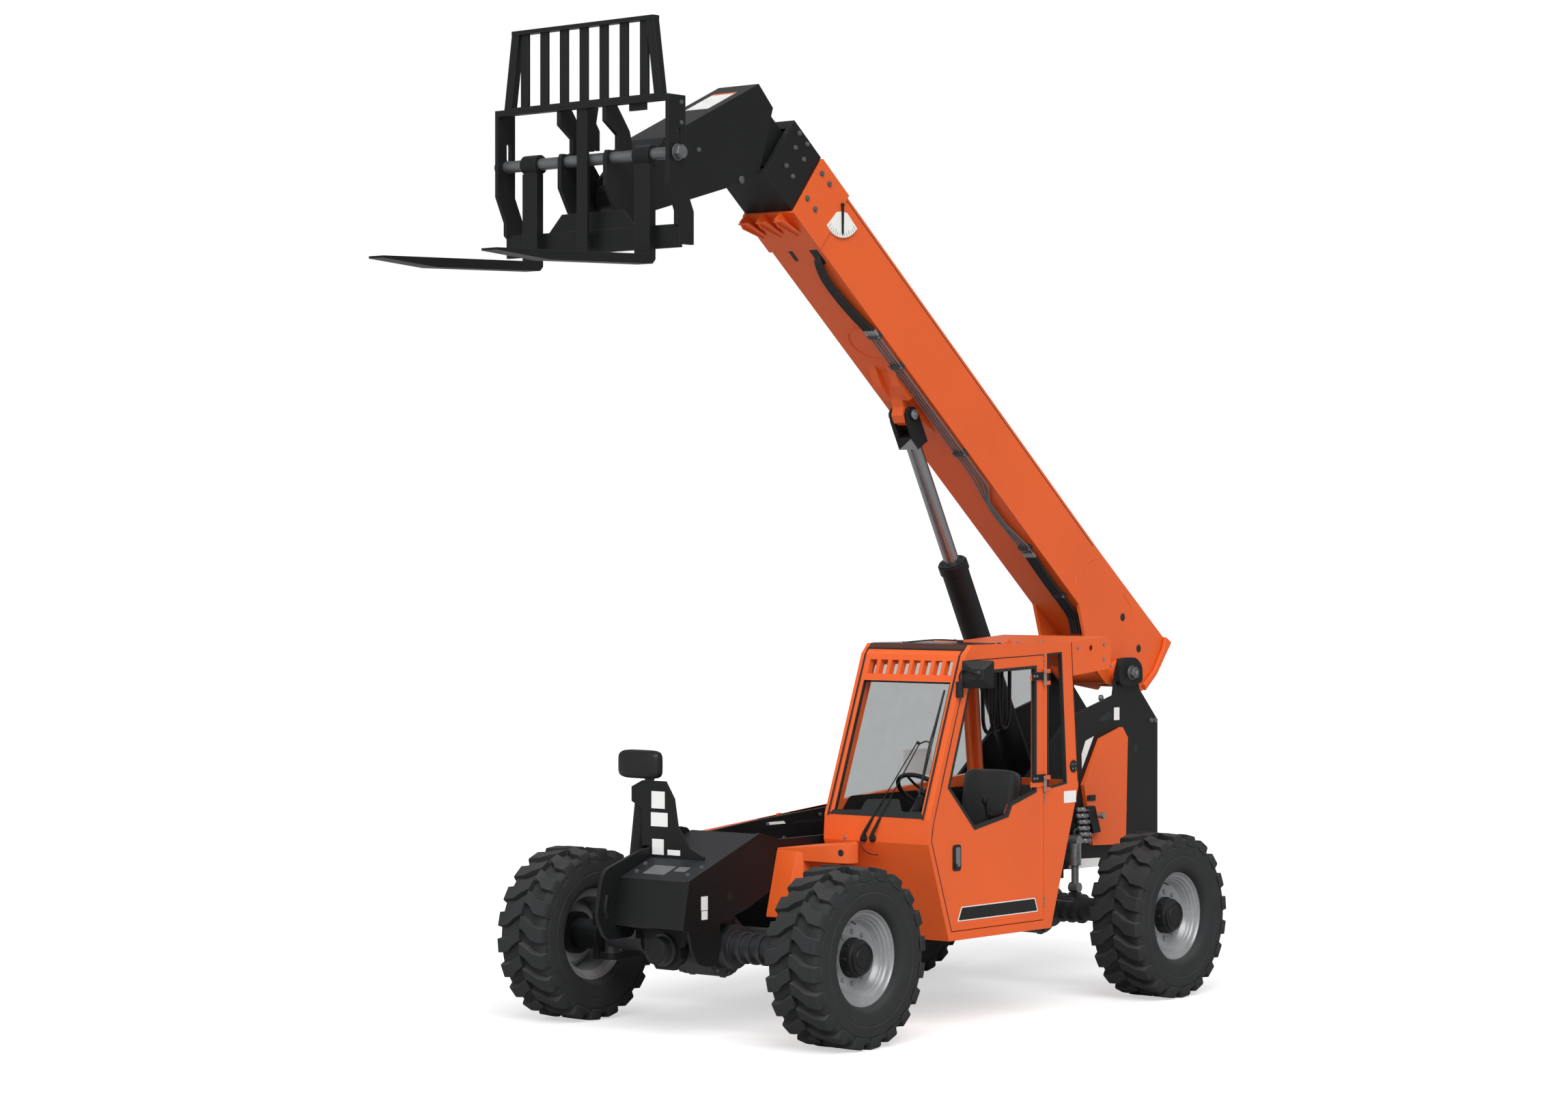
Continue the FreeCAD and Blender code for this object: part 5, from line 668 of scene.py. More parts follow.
class FORKLIFT_OT_seals(bpy.types.Operator):
    """Rubber seals round every pane, and the black band at the windscreen's foot"""
    bl_idname = "forklift.seals"
    bl_label = "Window seals"

    def execute(self, context):
        wide = context.scene.forklift_sizes.seal_width / MM
        bm = bmesh.new()
        strip(bm, side_on(CAB_SIDE, (-152, 1453), (108, 1383), (148, 1313), (498, 1253), (768, 1523), (519, 2230),
                          (-152, 2250)), LEFT, wide * 0.3, wide * 0.7, -24, 3)
        piece("seal_door_window", bm, "seal_rubber", "door", edge=1.2)
        bm = bmesh.new()
        for y in (396, 1144):
            plate(bm, [on_screen(y + dy, z) for dy, z in ((-7, 1333), (7, 1333), (7, 2333), (-7, 2333))],
                  SCREEN_OUT, 0, 3)
        strip(bm, [on_screen(y, z) for y, z in ((430, 1350), (1120, 1350), (1120, 2170), (430, 2170))],
              SCREEN_OUT, 0, 5, -24, 1)
        strip(bm, side_on(CAB_SIDE, (-280, 1463), (-280, 2326), (-432, 2334), (-489, 1488)), LEFT, 2, 10, -24, 1.5)
        piece("seal_cab_windows", bm, "seal_rubber", edge=1.2)
        bm = bmesh.new()
        plate(bm, [on_screen(y, z, 0.5) for y, z in (
            (396, 1337), (425, 1366), (640, 1372), (664, 1430), (680, 1440), (912, 1450), (930, 1442),
            (962, 1382), (980, 1374), (1115, 1380), (1144, 1337))], SCREEN_OUT, 0, 2.5)
        piece("screen_foot_band", bm, "seal_rubber", edge=0.8)
        # dark tinted roof pane, turned down over the front edge of the roof
        bm = bmesh.new()
        plate(bm, rounded([at(x, y, ROOF) for x, y in ((528, 392), (528, 1150), (150, 1122), (110, 420))], 0.02),
              UP, 0.2, 4)
        plate(bm, [at(530, 392, ROOF), at(530, 1150, ROOF), at(560, 1150, 2368), at(560, 392, 2368)],
              (64, 0, 60), 0.3, 3)
        piece("roof_pane", bm, "roof_tint", edge=1)
        bm = bmesh.new()
        for path, radius in (([at(562, 390, 2369), at(562, 1152, 2369)], 6),
                             ([at(562, 1152, 2369), at(530, 1153, 2401), at(140, 1126, 2402)], 5),
                             ([on_screen(396, 2330, 1), at(562, 394, 2369)], 6),
                             ([on_screen(1144, 2330, 1), at(562, 1146, 2369)], 6)):
            pipe(bm, path, radius, 0, 8)
        piece("roof_pane_edge", bm, "seal_rubber", edge=0)
        bm = bmesh.new()
        plate(bm, side_on(CAB_SIDE, (-489, 1484), (-572, 1488), (-494, 2346), (-432, 2340)), LEFT, -22, 0.6)
        piece("cab_rear_pillar", bm, "orange_enamel")
        # black weatherstrip that shows round the door's front edge
        bm = bmesh.new()
        pipe(bm, side_on(CAB_SIDE, (735, 629), (938, 1202), (919, 1302), (560, 2305), (-236, 2323)), 3.2, 0, 6)
        piece("door_weatherstrip", bm, "seal_rubber", edge=0)
        return {"FINISHED"}


class FORKLIFT_OT_lining(bpy.types.Operator):
    """Black trim panels and mat that line the cab's inside"""
    bl_idname = "forklift.lining"
    bl_label = "Cab lining"

    def execute(self, context):
        bm = bmesh.new()
        plate(bm, rounded(side_on(401, (-240, 620), (700, 620), (880, 1190), (860, 1330), (760, 1440),
                                  (-540, 1440)), 0.03), LEFT, 0, 5)
        plate(bm, [at(-282, 404, 640), at(-282, 1146, 640), at(-566, 1146, 1460), at(-566, 404, 1460)],
              (0.94, 0, 0.34), 1, 6)
        card(bm, at(180, 775, 612.5), ON_TOP, 760, 730, 0.2, 6, 40)
        plate(bm, rounded(side_on(1034, (720, 900), (900, 1180), (925, 1330), (720, 1330)), 0.02), LEFT, 0, 112)
        piece("cab_lining", bm, "moulded_black")
        return {"FINISHED"}


class FORKLIFT_OT_panels(bpy.types.Operator):
    """Pressed engine hood, moulded fender and the boom's heel flange"""
    bl_idname = "forklift.panels"
    bl_label = "Hood, fender and flange"

    def execute(self, context):
        outer, inner, hem = -1232, -348, 808

        def top(x, y):
            """Top of the hood, falling forwards and outwards."""
            return 1259 + (810 - x) * math.tan(HOOD_TURN) - (inner - y) * 0.21

        # across: y and how far the outer edge rolls down; along: x and how far its ends do
        roll = ((inner, 0), (-356, 0), (-600, 0), (-850, 0), (-1100, 0), (-1190, 8), (-1222, 24), (outer, 52),
                (outer, 150))
        ends = ((-912, 400), (-912, 60), (-904, 14), (-880, 2), (-600, 0), (200, 0), (776, 2), (797, 10),
                (806, 40), (806, 360))
        rows = [[at(x, y, max(hem, top(x, y) - drop - cut)) for y, drop in roll] + [at(x, outer, hem)]
                for x, cut in ends]
        bm = bmesh.new()
        rows = [[bm.verts.new(p) for p in row] for row in rows]
        for a, b in zip(rows, rows[1:]):
            for i in range(len(a) - 1):
                bm.faces.new((a[i], a[i + 1], b[i + 1], b[i]))
        hood = piece("engine_hood_pressed", bm, "orange_enamel", "hood", edge=0, smooth=45,
                     replaces=["engine_hood"])
        thick = hood.modifiers.new("sheet", "SOLIDIFY")
        thick.thickness, thick.offset = 0.003, 0
        slots = range(-700, 501, 150)
        # painted shade: dark cards on the hood's outer side, where its air slots open behind the louvre bars
        bm = bmesh.new()
        for x in slots:
            card(bm, at(x, outer - 1.5, 930), (AHEAD, UP, -LEFT), 86, 150, 0, 2, 20)
        piece("hood_air_slots", bm, "seal_rubber", "hood", edge=0.5)
        bm = bmesh.new()
        for x in slots:
            for z in (880, 930, 980):
                pipe(bm, [at(x - 40, outer - 4, z), at(x + 40, outer - 4, z)], 5, 0, 8)
        for x in (-573.4, 551.6):
            turned(bm, at(x, -342, top(x, inner)), (math.cos(HOOD_TURN), 0, -math.sin(HOOD_TURN)),
                   [(8, 0), (8, 38)], 14)
        piece("hood_louvres", bm, "orange_enamel", "hood", edge=0)

        bm = bmesh.new()
        foot = [(974, 293.5), (1452, 293.5), (1440, 436), (1338, 500), (974, 500)]
        head = [(974, 293.5), (1348, 293.5), (1340, 446), (1338, 500), (974, 500)]
        skin(bm, [[at(x, y, z) for x, y in outline] for outline, z in ((foot, 720), (foot, 735), (head, 1128))])
        wing = [(974, 293.5), (1345, 293.5), (1340, 446), (1340, 660), (1340, 806), (1328, 846), (1296, 862),
                (1250, 862), (974, 631)]
        rise = [1142 + (y - 293) * 0.102 for x, y in wing]
        skin(bm, [[at(x, y, 1070) for x, y in wing], [at(x, y, z - 6) for (x, y), z in zip(wing, rise)],
                  [at(974 + (x - 974) * 0.985, 293.5 + (y - 293.5) * 0.985, z - max(0, y - 800) * 0.25)
                   for (x, y), z in zip(wing, rise)]])
        piece("fender_moulded", bm, "orange_enamel", edge=6, smooth=30, replaces=["fender_front_left"])
        bm = bmesh.new()
        # painted shade: a dark disc with a thin rim on the fender's front, where its recess is
        turned(bm, at(1340.5, 798, 1136), AHEAD, [(21, -1), (21, 0.8), (17, 0.8), (0, 0.9)], 28)
        piece("fender_recess", bm, "seal_rubber", edge=0)

        bm = bmesh.new()
        for side in BOTH:
            plate(bm, [on_boom(a, o, side * 214) for a, o in (
                (-378, 560), (-300, 548), (-330, 470), (-340, 280), (-300, 120), (-336, 96), (-376, 272))],
                (0, side, 0), -4, 20)
        piece("boom_heel_flange", bm, "orange_enamel", "boom_base", edge=4)
        return {"FINISHED"}


class FORKLIFT_OT_wipers(bpy.types.Operator):
    """Screen wiper on its two arms, with the washer hose and plug"""
    bl_idname = "forklift.wipers"
    bl_label = "Wipers"

    def execute(self, context):
        bm = bmesh.new()
        joint = [on_screen(985, 1790, 26), on_screen(1004, 1782, 26)]
        blade = [on_screen(*p) for p in ((1093, 2118, 9), (1090, 1900, 20), (1086, 1790, 26), (1082, 1640, 20),
                                         (1078, 1465, 9))]
        for spot, tip in zip((on_screen(687, 1198), on_screen(756, 1199)), joint):
            turned(bm, spot, SCREEN_OUT, [(24, -1), (24, 8), (19, 14), (16, 24), (10, 27)], 18)
            way = tip - spot
            mid = spot + way * 0.36 + SCREEN_OUT * 0.024
            pipe(bm, [spot + SCREEN_OUT * 0.020, spot + way * 0.05 + SCREEN_OUT * 0.030, mid], 9, 0, 8, (15, 7))
            pipe(bm, [mid, spot + way * 0.7 + SCREEN_OUT * 0.012, tip], 4, 0, 8)
        pipe(bm, joint, 10, 0, 10)
        pipe(bm, smooth_path(blade, 6), 7, 0, 8)
        pipe(bm, [on_screen(1093, 2118, 6), on_screen(1078, 1465, 6)], 4, 0, 6)
        pipe(bm, [joint[1], on_screen(1050, 1800, 24), blade[2]], 5, 0, 8)
        hose = [on_screen(*p) for p in ((664, 1196, 12), (668, 1150, 16), (700, 1118, 14), (750, 1098, 12),
                                        (801, 1100, 4))]
        pipe(bm, smooth_path(hose, 6), 3.5, 1, 8)
        turned(bm, on_screen(532, 1198), SCREEN_OUT, [(12, -1), (12, 3), (9, 5)], 16, 2)
        piece("screen_wiper", bm, "moulded_black hose_rubber zinc_steel", edge=0.8)
        # roof wiper lies over the roof pane
        bm = bmesh.new()
        spot = at(130, 800, 2401)
        turned(bm, spot, UP, [(20, -2), (20, 10), (12, 16)], 16)
        pipe(bm, smooth_path([spot + UP * 0.012, at(260, 700, 2420), at(420, 560, 2404)], 6), 5)
        pipe(bm, smooth_path([at(250, 430, 2402), at(400, 560, 2402), at(540, 760, 2384)], 6), 5)
        piece("roof_wiper", bm, "moulded_black", edge=0.8)
        return {"FINISHED"}


class FORKLIFT_OT_door_fittings(bpy.types.Operator):
    """Door handle, hinge straps and knuckles, window latch and blank plates"""
    bl_idname = "forklift.door_fittings"
    bl_label = "Door fittings"

    def execute(self, context):
        bm = bmesh.new()
        card(bm, at(684, CAB_SIDE, 1085), ON_LEFT, 84, 162, 0.3, 6, 22)
        card(bm, at(678, CAB_SIDE, 1090), ON_LEFT, 40, 120, 4, 12, 12, 1)
        card(bm, at(700, CAB_SIDE, 1036), ON_LEFT, 22, 26, 4, 14, 6)
        piece("door_handle", bm, "moulded_black console_grey", "door", edge=2)
        bm = bmesh.new()
        plate(bm, rounded(side_on(CAB_SIDE, (676, 688), (634, 777), (-142, 777), (-172, 688)), 0.012),
              LEFT, 0.3, 1.2, 1)
        plate(bm, rounded(side_on(CAB_SIDE, (664, 694), (628, 771), (-136, 771), (-163, 694)), 0.010),
              LEFT, 1.0, 1.8)
        piece("door_blank_plate", bm, "label_black label_film", "door", edge=0)
        bm = bmesh.new()
        for z in (2188, 1536):
            card(bm, at(-176, CAB_SIDE, z), ON_LEFT, 150, 50, 5.5, 10, 6)
            for x in (-120, -150):
                bolt(bm, at(x, CAB_SIDE + 10, z), LEFT, 0.014, 1)
        for z in (2320, 2290, 2262, 1440, 1415, 1392, 770, 745, 720):
            bolt(bm, at(-238, CAB_SIDE + 0.4, z), LEFT, 0.012, 1)
        piece("door_hinge_straps", bm, "black_powder zinc_steel", "door", edge=0.8)
        for body, spans in (("door", [(-21, 21)]), ("chassis", [(-50, -25.5), (25.5, 47)])):
            bm = bmesh.new()
            for z in (1500, 2180):
                for low, high in spans:
                    turned(bm, at(-232, 1201.5, z), UP,
                           [(10, low), (11.9, low + 1), (11.9, high - 1), (10, high)], 16)
            piece("hinge_sleeves_" + body, bm, "zinc_steel", body, edge=0)
        bm = bmesh.new()
        latch = at(-560, CAB_SIDE, 1596)
        turned(bm, latch, LEFT, [(40, 0), (40, 5), (36, 9), (30, 9), (28, 6), (0, 6)])
        for a in turns(4, math.pi / 4):
            turned(bm, latch + LEFT * 0.0055 + spoke(a, 0.020), LEFT, [(5, 0), (5, 4), (3, 6)], 10, 1)
        piece("window_latch", bm, "moulded_black zinc_steel", edge=0.8)
        bm = bmesh.new()
        card(bm, at(-524, CAB_SIDE, 1401), ON_LEFT, 134, 76, 0.3, 0.9)
        piece("cab_blank_label", bm, "label_film", edge=0)
        # raised beads of the door skin along its lower and rear edges
        bm = bmesh.new()
        for path in (side_on(CAB_SIDE, (700, 668), (-205, 668), (-205, 1460)),
                     side_on(CAB_SIDE, (704, 640), (-225, 640))):
            pipe(bm, path, 2, 0, 6)
        piece("door_beads", bm, "orange_enamel", "door", edge=0)
        return {"FINISHED"}


def rounded_ring(count, power):
    """Points (u, v) of a square with soft corners, from -1 to 1."""
    for a in turns(count):
        c, s = math.cos(a), math.sin(a)
        yield a, math.copysign(abs(c) ** power, c), math.copysign(abs(s) ** power, s)


class FORKLIFT_OT_mirrors(bpy.types.Operator):
    """Moulded mirror housings, their arms and glass"""
    bl_idname = "forklift.mirrors"
    bl_label = "Mirrors"

    def execute(self, context):
        bm = bmesh.new()
        centre, wide, high = at(1858, -368, 1661), 171, 89
        skin(bm, [[centre + Vector((x, u * wide * share, v * high * share)) * MM
                   for _, u, v in rounded_ring(48, 0.4)]
                  for x, share in ((0, 0.97), (4, 1), (30, 0.995), (50, 0.94), (62, 0.8), (68, 0.5), (69.5, 0.1))])
        turned(bm, centre + AHEAD * 0.060, AHEAD, [(26, 0), (24, 9.4), (0.1, 9.8)], 20)
        pipe(bm, [centre + Vector((0.058, 0, -0.01)), at(1894, -300, 1580), at(1886, -270, 1566)], 9, 0, 10)
        card(bm, at(1878, -285, 1572), ON_FRONT, 70, 17, 1, 15, 5)
        piece("post_mirror", bm, "moulded_black", smooth=50, replaces=["front_mirror"])
        bm = bmesh.new()
        card(bm, centre, (LEFT, UP, -AHEAD), 316, 156, -1, -0.2, 45, steps=8)
        piece("post_mirror_glass", bm, "mirror_face", edge=0)

        bm = bmesh.new()
        centre, away, side = at(586, 1283, 2222), Vector((0.8, 0.6, 0)), Vector((-0.6, 0.8, 0))
        skin(bm, [rounded(square(centre + away * rise * MM, side, UP, 200 * share, 172 * share), 0.016 * share)
                  for rise, share in ((0, 0.95), (3, 1), (14, 1), (20, 0.94), (40, 0.42), (46, 0.36))])
        turned(bm, centre + away * 0.045, away, [(24, 0), (22, 12), (12, 16)], 18)
        clamp = at(668, 1206, 2128)
        turned(bm, clamp, UP, [(20, -50), (23, -46), (23, 46), (20, 50)], 16)
        card(bm, at(668, CAB_SIDE, 2128), ON_LEFT, 50, 96, 0.4, 14, 6)
        arm = [clamp + UP * 0.045, at(674, 1208, 2215), at(668, 1240, 2252),
               centre + away * 0.070 + UP * 0.004, centre + away * 0.050]
        pipe(bm, smooth_path(arm, 6), 7, 0, 10)
        piece("door_mirror", bm, "moulded_black", "door", smooth=34, replaces=["cab_mirror"])
        bm = bmesh.new()
        card(bm, centre, (side, UP, -away), 180, 152, -0.5, 0.4, 14, steps=6)
        piece("door_mirror_glass", bm, "mirror_face", "door", edge=0)
        return {"FINISHED"}


def blow_up(pad, sewn, limit, frames=20):
    """Turn a pad into even cloth and blow it up between its seams, by no more than the limit."""
    even = pad.modifiers.new("even cloth", "REMESH")
    even.mode, even.voxel_size = "VOXEL", 0.006
    look = bpy.context.evaluated_depsgraph_get()
    mesh = bpy.data.meshes.new_from_object(pad.evaluated_get(look))
    pad.modifiers.clear()
    pad.data = mesh
    mesh.polygons.foreach_set("use_smooth", [True] * len(mesh.polygons))
    if not mesh.materials:
        mesh.materials.append(material("seat_vinyl"))
    start = [v.co.copy() for v in mesh.vertices]
    seam = pad.vertex_groups.new(name="sewn")
    seam.add([i for i, p in enumerate(start) if sewn(p)], 1, "REPLACE")
    cloth = pad.modifiers.new("cloth", "CLOTH")
    cloth.settings.use_pressure = True
    cloth.settings.uniform_pressure_force = 4
    cloth.settings.vertex_group_mass = "sewn"
    cloth.settings.effector_weights.gravity = 0
    cloth.point_cache.frame_start, cloth.point_cache.frame_end = 1, frames
    for number in range(1, frames + 1):
        bpy.context.scene.frame_set(number)
    blown = pad.evaluated_get(bpy.context.evaluated_depsgraph_get()).data
    for v, p, new in zip(mesh.vertices, start, [w.co.copy() for w in blown.vertices]):
        move = new - p
        if move.length > limit:
            move *= limit / move.length
        v.co = p + move
    pad.modifiers.clear()
    pad.vertex_groups.clear()
    bpy.context.scene.frame_set(1)
    relax = pad.modifiers.new("relaxed", "SMOOTH")
    relax.factor, relax.iterations = 0.5, 3


class FORKLIFT_OT_seat(bpy.types.Operator):
    """Padded seat and backrest on a suspension base"""
    bl_idname = "forklift.seat"
    bl_label = "Seat"

    def execute(self, context):
        def cushion(name, centre, long_way, wide_way, length, width, thick, crown):
            """Crowned pad whose sides pull in between its corners."""
            up = long_way.cross(wide_way).normalized()
            bm = bmesh.new()
            rings = []
            for h, share in ((-0.5, 0.90), (-0.42, 0.97), (-0.1, 1.0), (0.25, 1.0), (0.44, 0.96)):
                ring = []
                for a, u, v in rounded_ring(56, 0.35):
                    pull = 1 - 0.03 * math.cos(2 * a) ** 2
                    ring.append(centre + long_way * u * length / 2 * share * pull
                                + wide_way * v * width / 2 * share * pull + up * h * thick)
                rings.append(ring)
            for share, h in ((0.93, 0.47), (0.90, 0.44), (0.86, 0.47), (0.7, 0.5), (0.45, 0.5 + crown * 0.7),
                             (0.2, 0.5 + crown * 0.3), (0.02, 0.5)):
                rings.append([centre + (p - centre - up * (p - centre).dot(up)) * share / 0.96 + up * h * thick
                              for p in rings[4]])
            skin(bm, rings)
            pad = piece(name, bm, "seat_vinyl", edge=0, smooth=70)

            def sewn(p):
                """Seam lines: the underside, and two channels down the face."""
                h = (p - centre).dot(up) / thick
                v = abs((p - centre).dot(wide_way))
                return h < -0.2 or (h > 0.3 and abs(v - width * 0.27) < 0.004)

            blow_up(pad, sewn, 0.012)
            return pad

        tilt = Vector((1, 0, 0.04)).normalized()
        seat = cushion("seat_cushion", at(-50, 760, 1062), tilt, LEFT, 0.455, 0.46, 0.115, 0.05)
        lean = Vector((-0.13, 0, 0.99)).normalized()
        cushion("seat_back_cushion", at(-240, 760, 1345), lean, LEFT, 0.47, 0.43, -0.10, 0.05)
        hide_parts("seat")
        bm = bmesh.new()
        card(bm, at(-60, 760, 985), ON_TOP, 400, 400, 0, 26, 30)
        for k, z in enumerate(range(650, 970, 40)):
            fold = 14 * (k % 2)
            card(bm, at(-60, 760, z), ON_TOP, 330 - fold, 320 - fold, 0, 40, 30, 1)
        card(bm, at(-60, 760, 612.5), ON_TOP, 370, 330, 0, 40, 20)
        card(bm, at(-288, 760, 1340), (LEFT, lean, (-1, 0, -0.13)), 400, 440, -6, 6, 60)
        for y in (548, 972):
            pipe(bm, smooth_path([at(-215, y, 1180), at(-190, y, 1290), at(-60, y, 1300), at(60, y, 1290)], 6), 22)
        piece("seat_base_and_arms", bm, "moulded_black seal_rubber", edge=3)
        return {"FINISHED"}


class FORKLIFT_OT_controls(bpy.types.Operator):
    """Steering wheel, column, levers and the dash panel"""
    bl_idname = "forklift.controls"
    bl_label = "Controls"

    def execute(self, context):
        lean = math.radians(40)
        axis = Vector((-math.sin(lean), 0, math.cos(lean)))
        hub, other = at(455, 760, 1462), axis.cross(LEFT)

        def around(a):
            return LEFT * math.cos(a) + other * math.sin(a)

        bm = bmesh.new()
        skin(bm, [[hub + around(a) * (0.180 + 0.0145 * math.cos(b)) + axis * 0.0145 * math.sin(b)
                   for b in turns(12)] for a in turns(48)], round_trip=True)
        turned(bm, hub, axis, [(40, -30), (40, 4), (30, 12), (0, 13)], 24)
        for a in (0.3, 2.4, 4.5):
            out = around(a)
            pipe(bm, [hub + out * 0.03, hub + out * 0.10 - axis * 0.006, hub + out * 0.178], 9, 0, 8)
        turned(bm, hub + around(0.3) * 0.165, axis,
               [(10, 10), (10, 24), (20, 30), (22, 42), (14, 50), (0, 52)], 16)
        turned(bm, hub, axis, [(30, -212), (30, -150), (26, -140), (26, -20)], 16)
        piece("steering_wheel_round", bm, "moulded_black", edge=0, smooth=40, replaces=["steering_wheel"])
        bm = bmesh.new()
        card(bm, at(780, 870, 1318), ((1, 0, -0.1), LEFT, (0.1, 0, 1)), 180, 190, 0, 12, 20, 1)
        for k in range(5):
            turned(bm, at(740, 800 + 32 * k, 1330), (0.1, 0, 1), [(8, 0), (8, 10), (5, 13)], 12)
        for y in (1010, 575):
            foot = at(120, y, 1200)
            turned(bm, foot, UP, [(34, -30), (34, 0), (24, 10), (16, 30), (9, 40)], 16)
            stalk = [foot + Vector(step) for step in ((0, 0, 0.03), (0.01, 0, 0.12), (0.03, 0, 0.19))]
            pipe(bm, smooth_path(stalk, 4), 9, 0, 8)
            turned(bm, foot + Vector((0.03, 0, 0.18)), (0.1, 0, 1),
                   [(10, 0), (22, 10), (24, 34), (16, 52), (0, 56)], 16)
        piece("dash_panel_and_levers", bm, "moulded_black console_grey")
        bm = bmesh.new()
        card(bm, at(65, 402, 1620), ON_LEFT, 300, 170, 0, 1.5)
        piece("cab_blank_notice", bm, "label_film", edge=0)
        return {"FINISHED"}


class FORKLIFT_OT_boom_fittings(bpy.types.Operator):
    """Collar bolts, guards, weld seams, painted shade of recesses, holes and the top plate's overhang, hoses, tubes
    and angle dial of the boom
    """
    bl_idname = "forklift.boom_fittings"
    bl_label = "Boom fittings"

    def execute(self, context):
        bm = bmesh.new()
        for along, over in ((4592, 462), (4496, 462), (4600, 240), (4500, 240)):
            for side in BOTH:
                bolt(bm, on_boom(along, over, side * 212), (0, side, 0))
        for along in (4420, 4560):
            for side in BOTH:
                bolt(bm, on_boom(along, 544, side * 120), BOOM_OVER)
        for along in (560, 900, 1300, 1700, 2100, 2500, 2900, 3300, 3700, 4100):
            bolt(bm, on_boom(along, 540, 0), BOOM_OVER, 0.02)
        piece("boom_collar_bolts", bm, "dark_bolt", "boom_base", edge=0.8)
        bm = bmesh.new()
        # fins and guards under the collar, where the hoses turn in
        for y in (-158, -14, 130):
            plate(bm, [on_boom(a, o, y - 26) for a, o in ((4652, 86), (4664, 6), (4612, -8), (4400, 90))],
                  LEFT, 0, 12)
            plate(bm, [on_boom(4652, 6, y - 40), on_boom(4652, 6, y + 44), on_boom(4450, 86, y + 22),
                       on_boom(4450, 86, y - 20)], BOOM_OVER, -8, 2)
        # shallow weld ring round the lug's doubler, and the heel's weld seams
        ring = [on_boom(3390 + 150 * math.cos(a), 91, 20 + 130 * math.sin(a)) for a in turns(40)]
        pipe(bm, ring + ring[:1], 7, 0, 6)
        for y in (200.5, -200.5):
            for seam in (((640, 515), (745, 400), (788, 237), (760, 140), (687, 98)),
                         ((280, 480), (160, 470), (70, 410), (20, 330))):
                pipe(bm, smooth_path([on_boom(a, o, y) for a, o in seam], 8), 3, 0, 6)
        piece("boom_guards_and_seams", bm, "orange_enamel", "boom_base")
        bm = bmesh.new()
        # painted shade: flat dark plates on the underside, where its two recesses are
        for a0, a1, y0, y1 in ((4195, 4394, -66, -36), (4150, 4312, 104, 168)):
            plate(bm, rounded([on_boom(a, 91.2, y) for a, y in ((a0, y0), (a1, y0), (a1, y1), (a0, y1))], 0.03),
                  -BOOM_OVER, 0, 1.5)
        # painted shadow: a thin dark strip along each side, under the overhanging top plate of the box
        for side in BOTH:
            plate(bm, [on_boom(a, o, side * 200.1) for a, o in ((780, 508), (4395, 508), (4395, 514), (780, 514))],
                  (0, side, 0), 0, 0.8)
        # painted shade: dark discs on the left side, where two holes are
        for a, o in ((-115, 300), (180, 350)):
            turned(bm, on_boom(a, o, 200.2), LEFT, [(28, 0), (28, 1.2), (24, 1.4), (0, 1.4)], 24)
        piece("boom_openings", bm, "seal_rubber", "boom_base", edge=0)
        # four lines side by side, 25 mm apart at the far and at the near end of their tubes
        lines = [(184 - 25 * k, 150 - 25 * k) for k in range(4)]
        bm = bmesh.new()
        for k, (far, near) in enumerate(lines):
            for route in (((4240 - 10 * k, 96, 158 - 12 * k), (4180, 72, 146 - 14 * k), (4040, 60, 126 - 17 * k),
                           (3860, 62, 130 - 20 * k), (3680, 66, 152 - 23 * k), (3510, 70, far)),
                          ((1230, 70, near), (960, 66, near - 6), (600, 66, near - 6), (500, 40, near - 10),
                           (430, 4, near - 20))):
                pipe(bm, smooth_path([on_boom(*p) for p in route], 8), 10)
            turned(bm, on_boom(3510, 70, far), BOOM_ALONG, [(11, -20), (13, 0), (13, 30), (10, 34)], 6, 1)
            turned(bm, on_boom(1240, 70, near), BOOM_ALONG, [(10, -34), (13, -30), (13, 0), (11, 10)], 6, 1)
        piece("boom_hoses", bm, "hose_rubber zinc_steel", "boom_base", edge=0)
        bm = bmesh.new()
        for k, (far, near) in enumerate(lines):
            inner = near - 52 + 12 * k
            pipe(bm, [on_boom(a, 70, y) for a, y in (
                (1220, near), (1330, near), (1560, inner), (1800 - 30 * k, inner), (1960 + 40 * k, far),
                (2389, far), (3089, far), (3530, far))], 6)
        for along, y in ((778, 106), (1298, 112), (2300, 146), (3180, 146), (3480, 146)):
            for low, high in ((-16, -3.5), (2, 18)):
                card(bm, on_boom(along, 76, y), (BOOM_ALONG, LEFT, BOOM_OVER), 34, 104, low, high, 6, 1)
            for dy in (-44, 44):
                bolt(bm, on_boom(along, 60, y + dy), -BOOM_OVER, 0.014)
        piece("boom_tubes", bm, "tube_steel cast_grey", "boom_base", edge=0.8, replaces=["boom_lines"])
        hub = at(604.5, 212, 5192)

        def fan(radius, angle, out):
            """Point of the angle dial, from its hub and its plumb line."""
            a = math.radians(angle)
            return hub + Vector((math.sin(a) * radius, out, -math.cos(a) * radius)) * MM

